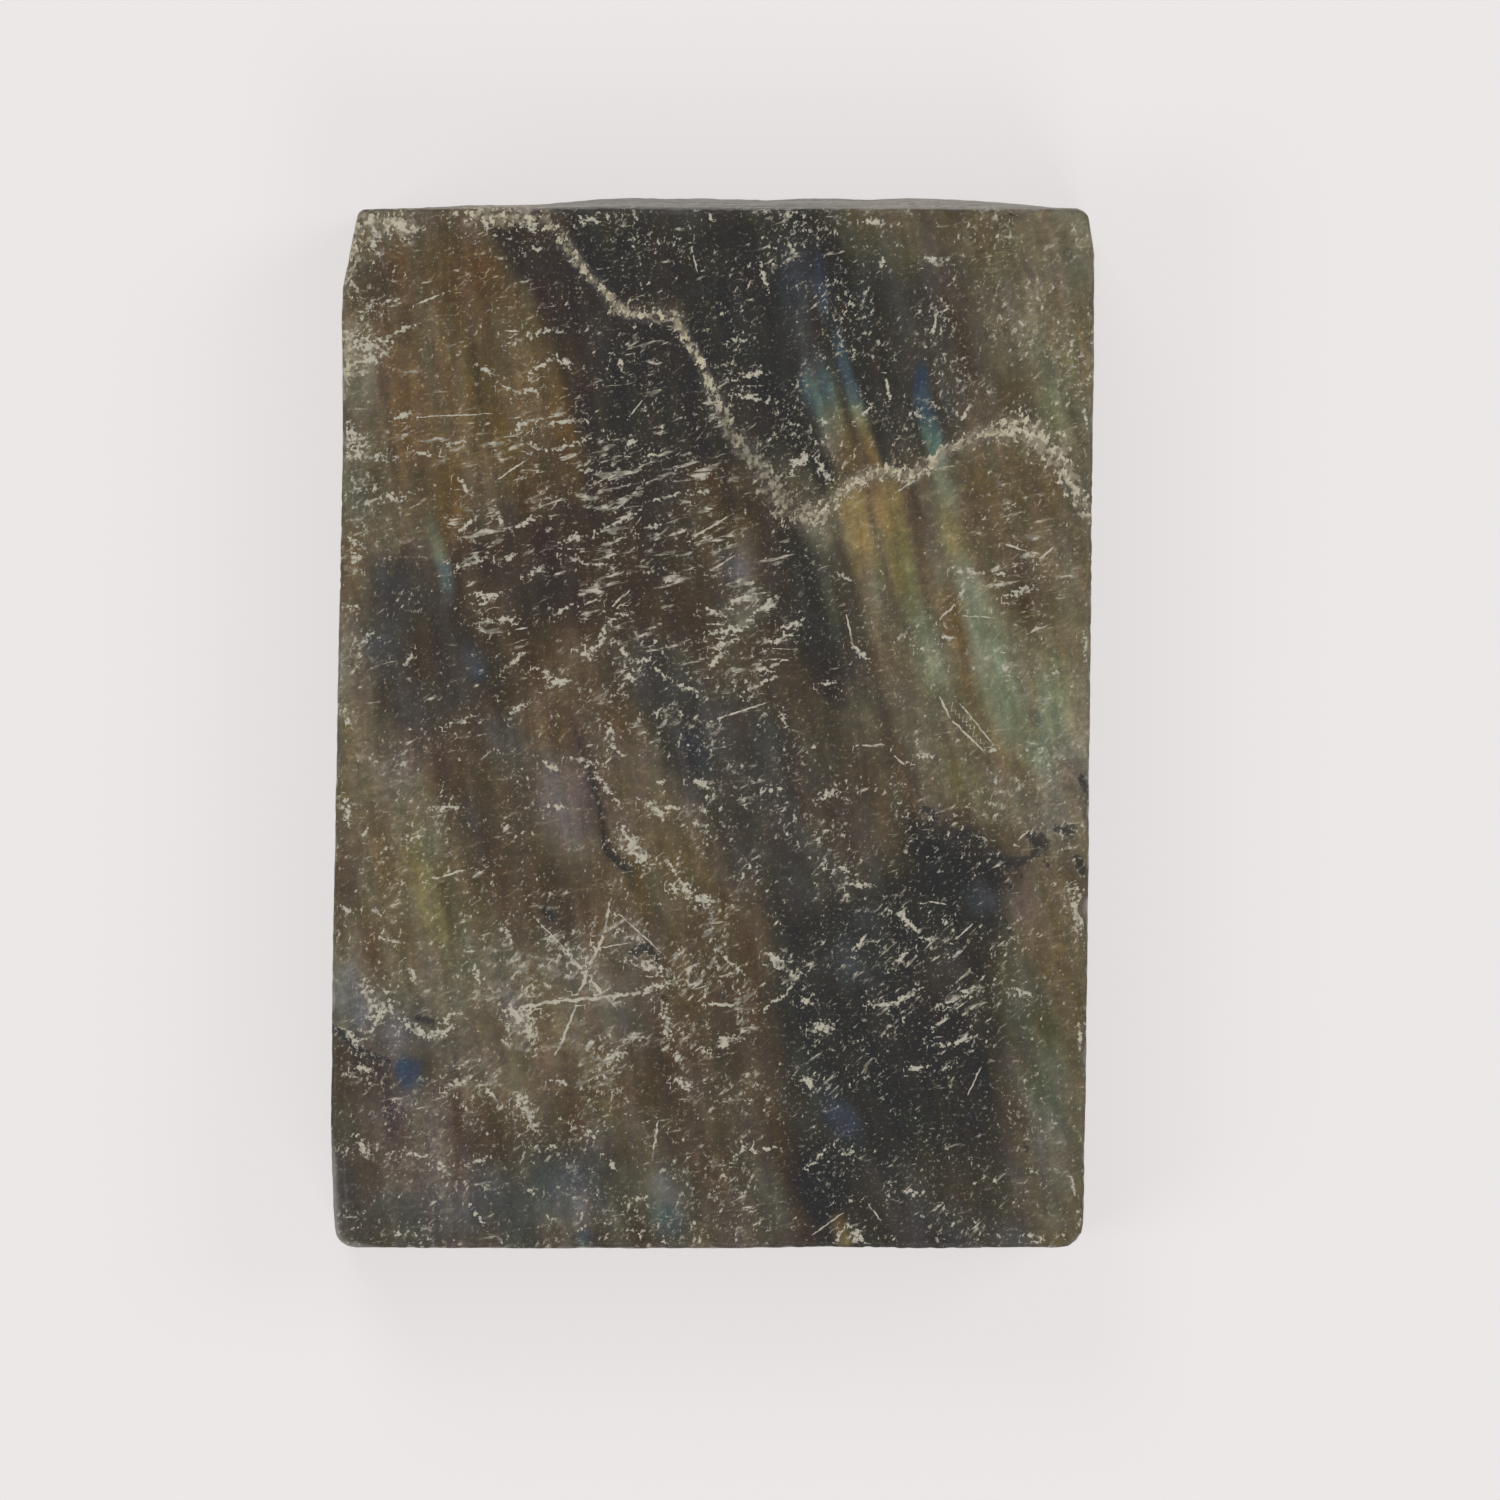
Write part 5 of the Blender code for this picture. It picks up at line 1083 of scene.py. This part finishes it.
# Torn flecks: low dashes, steep dashes and crumbs, with a fine dust of flecks between them.
low_dashes, steep_dashes, crumbs = parts(read("scuffs", output=1))
low_grain = grain(turned(12.0, (1.0, 3.4, 2.0)), 1.3, detail=3.0, roughness=0.66, distortion=0.5)
steep_grain = grain(turned(40.0, (1.0, 3.0, 2.0)), 1.8, detail=3.0, roughness=0.66, distortion=0.4)
crumb_grain = grain(turned(70.0, (1.0, 1.35, 1.0)), 4.6, detail=2.0, roughness=0.7)
low_torn = torn(low_grain, low_dashes, DASH_CROWDED)
steep_torn = torn(steep_grain, steep_dashes, DASH_CROWDED)
crumb_torn = torn(crumb_grain, crumbs, CRUMB_CROWDED)
torn_edge = reckon("MAXIMUM", reckon("MAXIMUM", low_torn, steep_torn), crumb_torn)
bruised = cut_off(torn_edge, -0.12, 0.05)
dust_flecks = reckon("MULTIPLY", cut_off(tear, 0.585, 0.69), graded(clumped, 0.0, 1.0, 0.20, 0.70))
flecks = reckon("MAXIMUM", cut_off(torn_edge, 0.0, 0.09), dust_flecks)

# Marks: the bold crumbs and scratches, bent and frayed.
bend = move("SUBTRACT", grain(in_mm, 4.5, detail=1.0, colour=True), (0.5, 0.5, 0.5))
bend_across, _, bend_up = parts(bend)
bent_mark = move("ADD", read("mark", output=1), move("MULTIPLY", bend, (1.4, 3.6, 0.0)))
mark_along, mark_across, mark_near = parts(bent_mark)
mark_square = reckon("ADD", reckon("POWER", mark_along, 2.0), reckon("POWER", mark_across, 2.0))
mark_hold = graded(mark_near, 1.2, 1.9, 0.15, 0.45)
mark_pull = reckon("MULTIPLY", reckon("SUBTRACT", 1.15, reckon("SQRT", mark_square)), mark_hold)
mark_torn = cut_off(reckon("ADD", tear, mark_pull), 0.50, 0.60)
marks = reckon("MULTIPLY", mark_torn, cut_off(mark_near, 0.4, 0.8))

# Veins: a patchy pale band strewn with crumbs. Fissures: frayed and nearly black.
tear_shift = reckon("MULTIPLY", reckon("SUBTRACT", tear, 0.5), 3.0)
vein_away, vein_bold, _ = parts(read("vein", output=1))
vein_bent = reckon("ADD", vein_away, reckon("MULTIPLY", bend_across, 4.0))
vein_patchy = reckon("MULTIPLY", vein_bold, graded(bend_up, -0.10, 0.10, 0.10, 0.80))
vein_band = reckon("MULTIPLY", cut_off(reckon("ADD", vein_bent, tear_shift), 1.7, 0.4), vein_patchy)
vein_pull = reckon("MULTIPLY", reckon("SUBTRACT", 1.4, vein_away), 0.08)
vein_torn = cut_off(reckon("ADD", crumb_grain, vein_pull), 0.55, 0.62)
vein_crumbs = reckon("MULTIPLY", vein_torn, cut_off(vein_bold, 0.0, 0.6))
fissure_torn = reckon("ADD", read("fissure"), tear_shift)
fissure_cover = reckon("MULTIPLY", cut_off(fissure_torn, 1.3, 0.6), 0.8)

# The tint, made lighter and darker by lamellae, mottling and the bruising round the flecks.
lamellae = grain(turned(8.0, (5.0, 0.35, 1.5)), 1.0, detail=4.0)
mottling = grain(in_mm, 2.2, detail=5.0, roughness=0.8)
strength = graded(lamellae, 0.25, 0.75, 0.80, 1.18)
strength = reckon("MULTIPLY", strength, graded(mottling, 0.25, 0.75, 0.58, 1.40))
strength = reckon("MULTIPLY", strength, graded(bruised, 0.0, 1.0, 0.90, 1.38))
tint_seen = fit("VectorMath", {0: read("tint", output=0), 3: strength}, operation="SCALE")

# The layers, from the stone up to the veins' crumbs.
sawn = read("sawn")
saw_lines = grain(move("MULTIPLY", in_mm, (0.3, 0.3, 6.0)), 1.0, detail=4.0)
dust = reckon("MULTIPLY", saw_lines, graded(mottling, 0.3, 0.7, 0.9, 1.8))
dusty = blend(reckon("MULTIPLY", sawn, reckon("MINIMUM", dust, 0.9)), tint_seen, WALL_DUST)
cracked = blend(fissure_cover, dusty, CRACK)
fleck_look = blend(cut_off(bend_across, -0.16, 0.16), FLECK_DIM, FLECK)
flecked = blend(flecks, cracked, fleck_look)
mark_look = blend(cut_off(bend_across, -0.3, 0.05), FLECK_DIM, FLECK)
marked = blend(marks, flecked, mark_look)
banded = blend(vein_band, marked, VEIN_BAND)
vein_look = blend(cut_off(bend_across, -0.16, 0.12), VEIN_BAND, VEIN_PALE)
veined = blend(vein_crumbs, banded, vein_look)
pale = reckon("MAXIMUM", reckon("MAXIMUM", flecks, marks), vein_crumbs)
dull = graded(reckon("MAXIMUM", pale, sawn), 0.0, 1.0, RUBBED, TORN)
tooth = grain(in_mm, 9.0, detail=2.0, roughness=0.7)
relief = fit("Bump", {"Strength": 0.5, "Distance": TOOTH_HEIGHT, "Height": tooth})

stone_tree.links.new(veined, stone_shader.inputs["Base Color"])
stone_tree.links.new(dull, stone_shader.inputs["Roughness"])
stone_tree.links.new(relief, stone_shader.inputs["Normal"])
slab_mesh.materials.append(stone)
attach(slab, "root")
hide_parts("labradorite_slab")
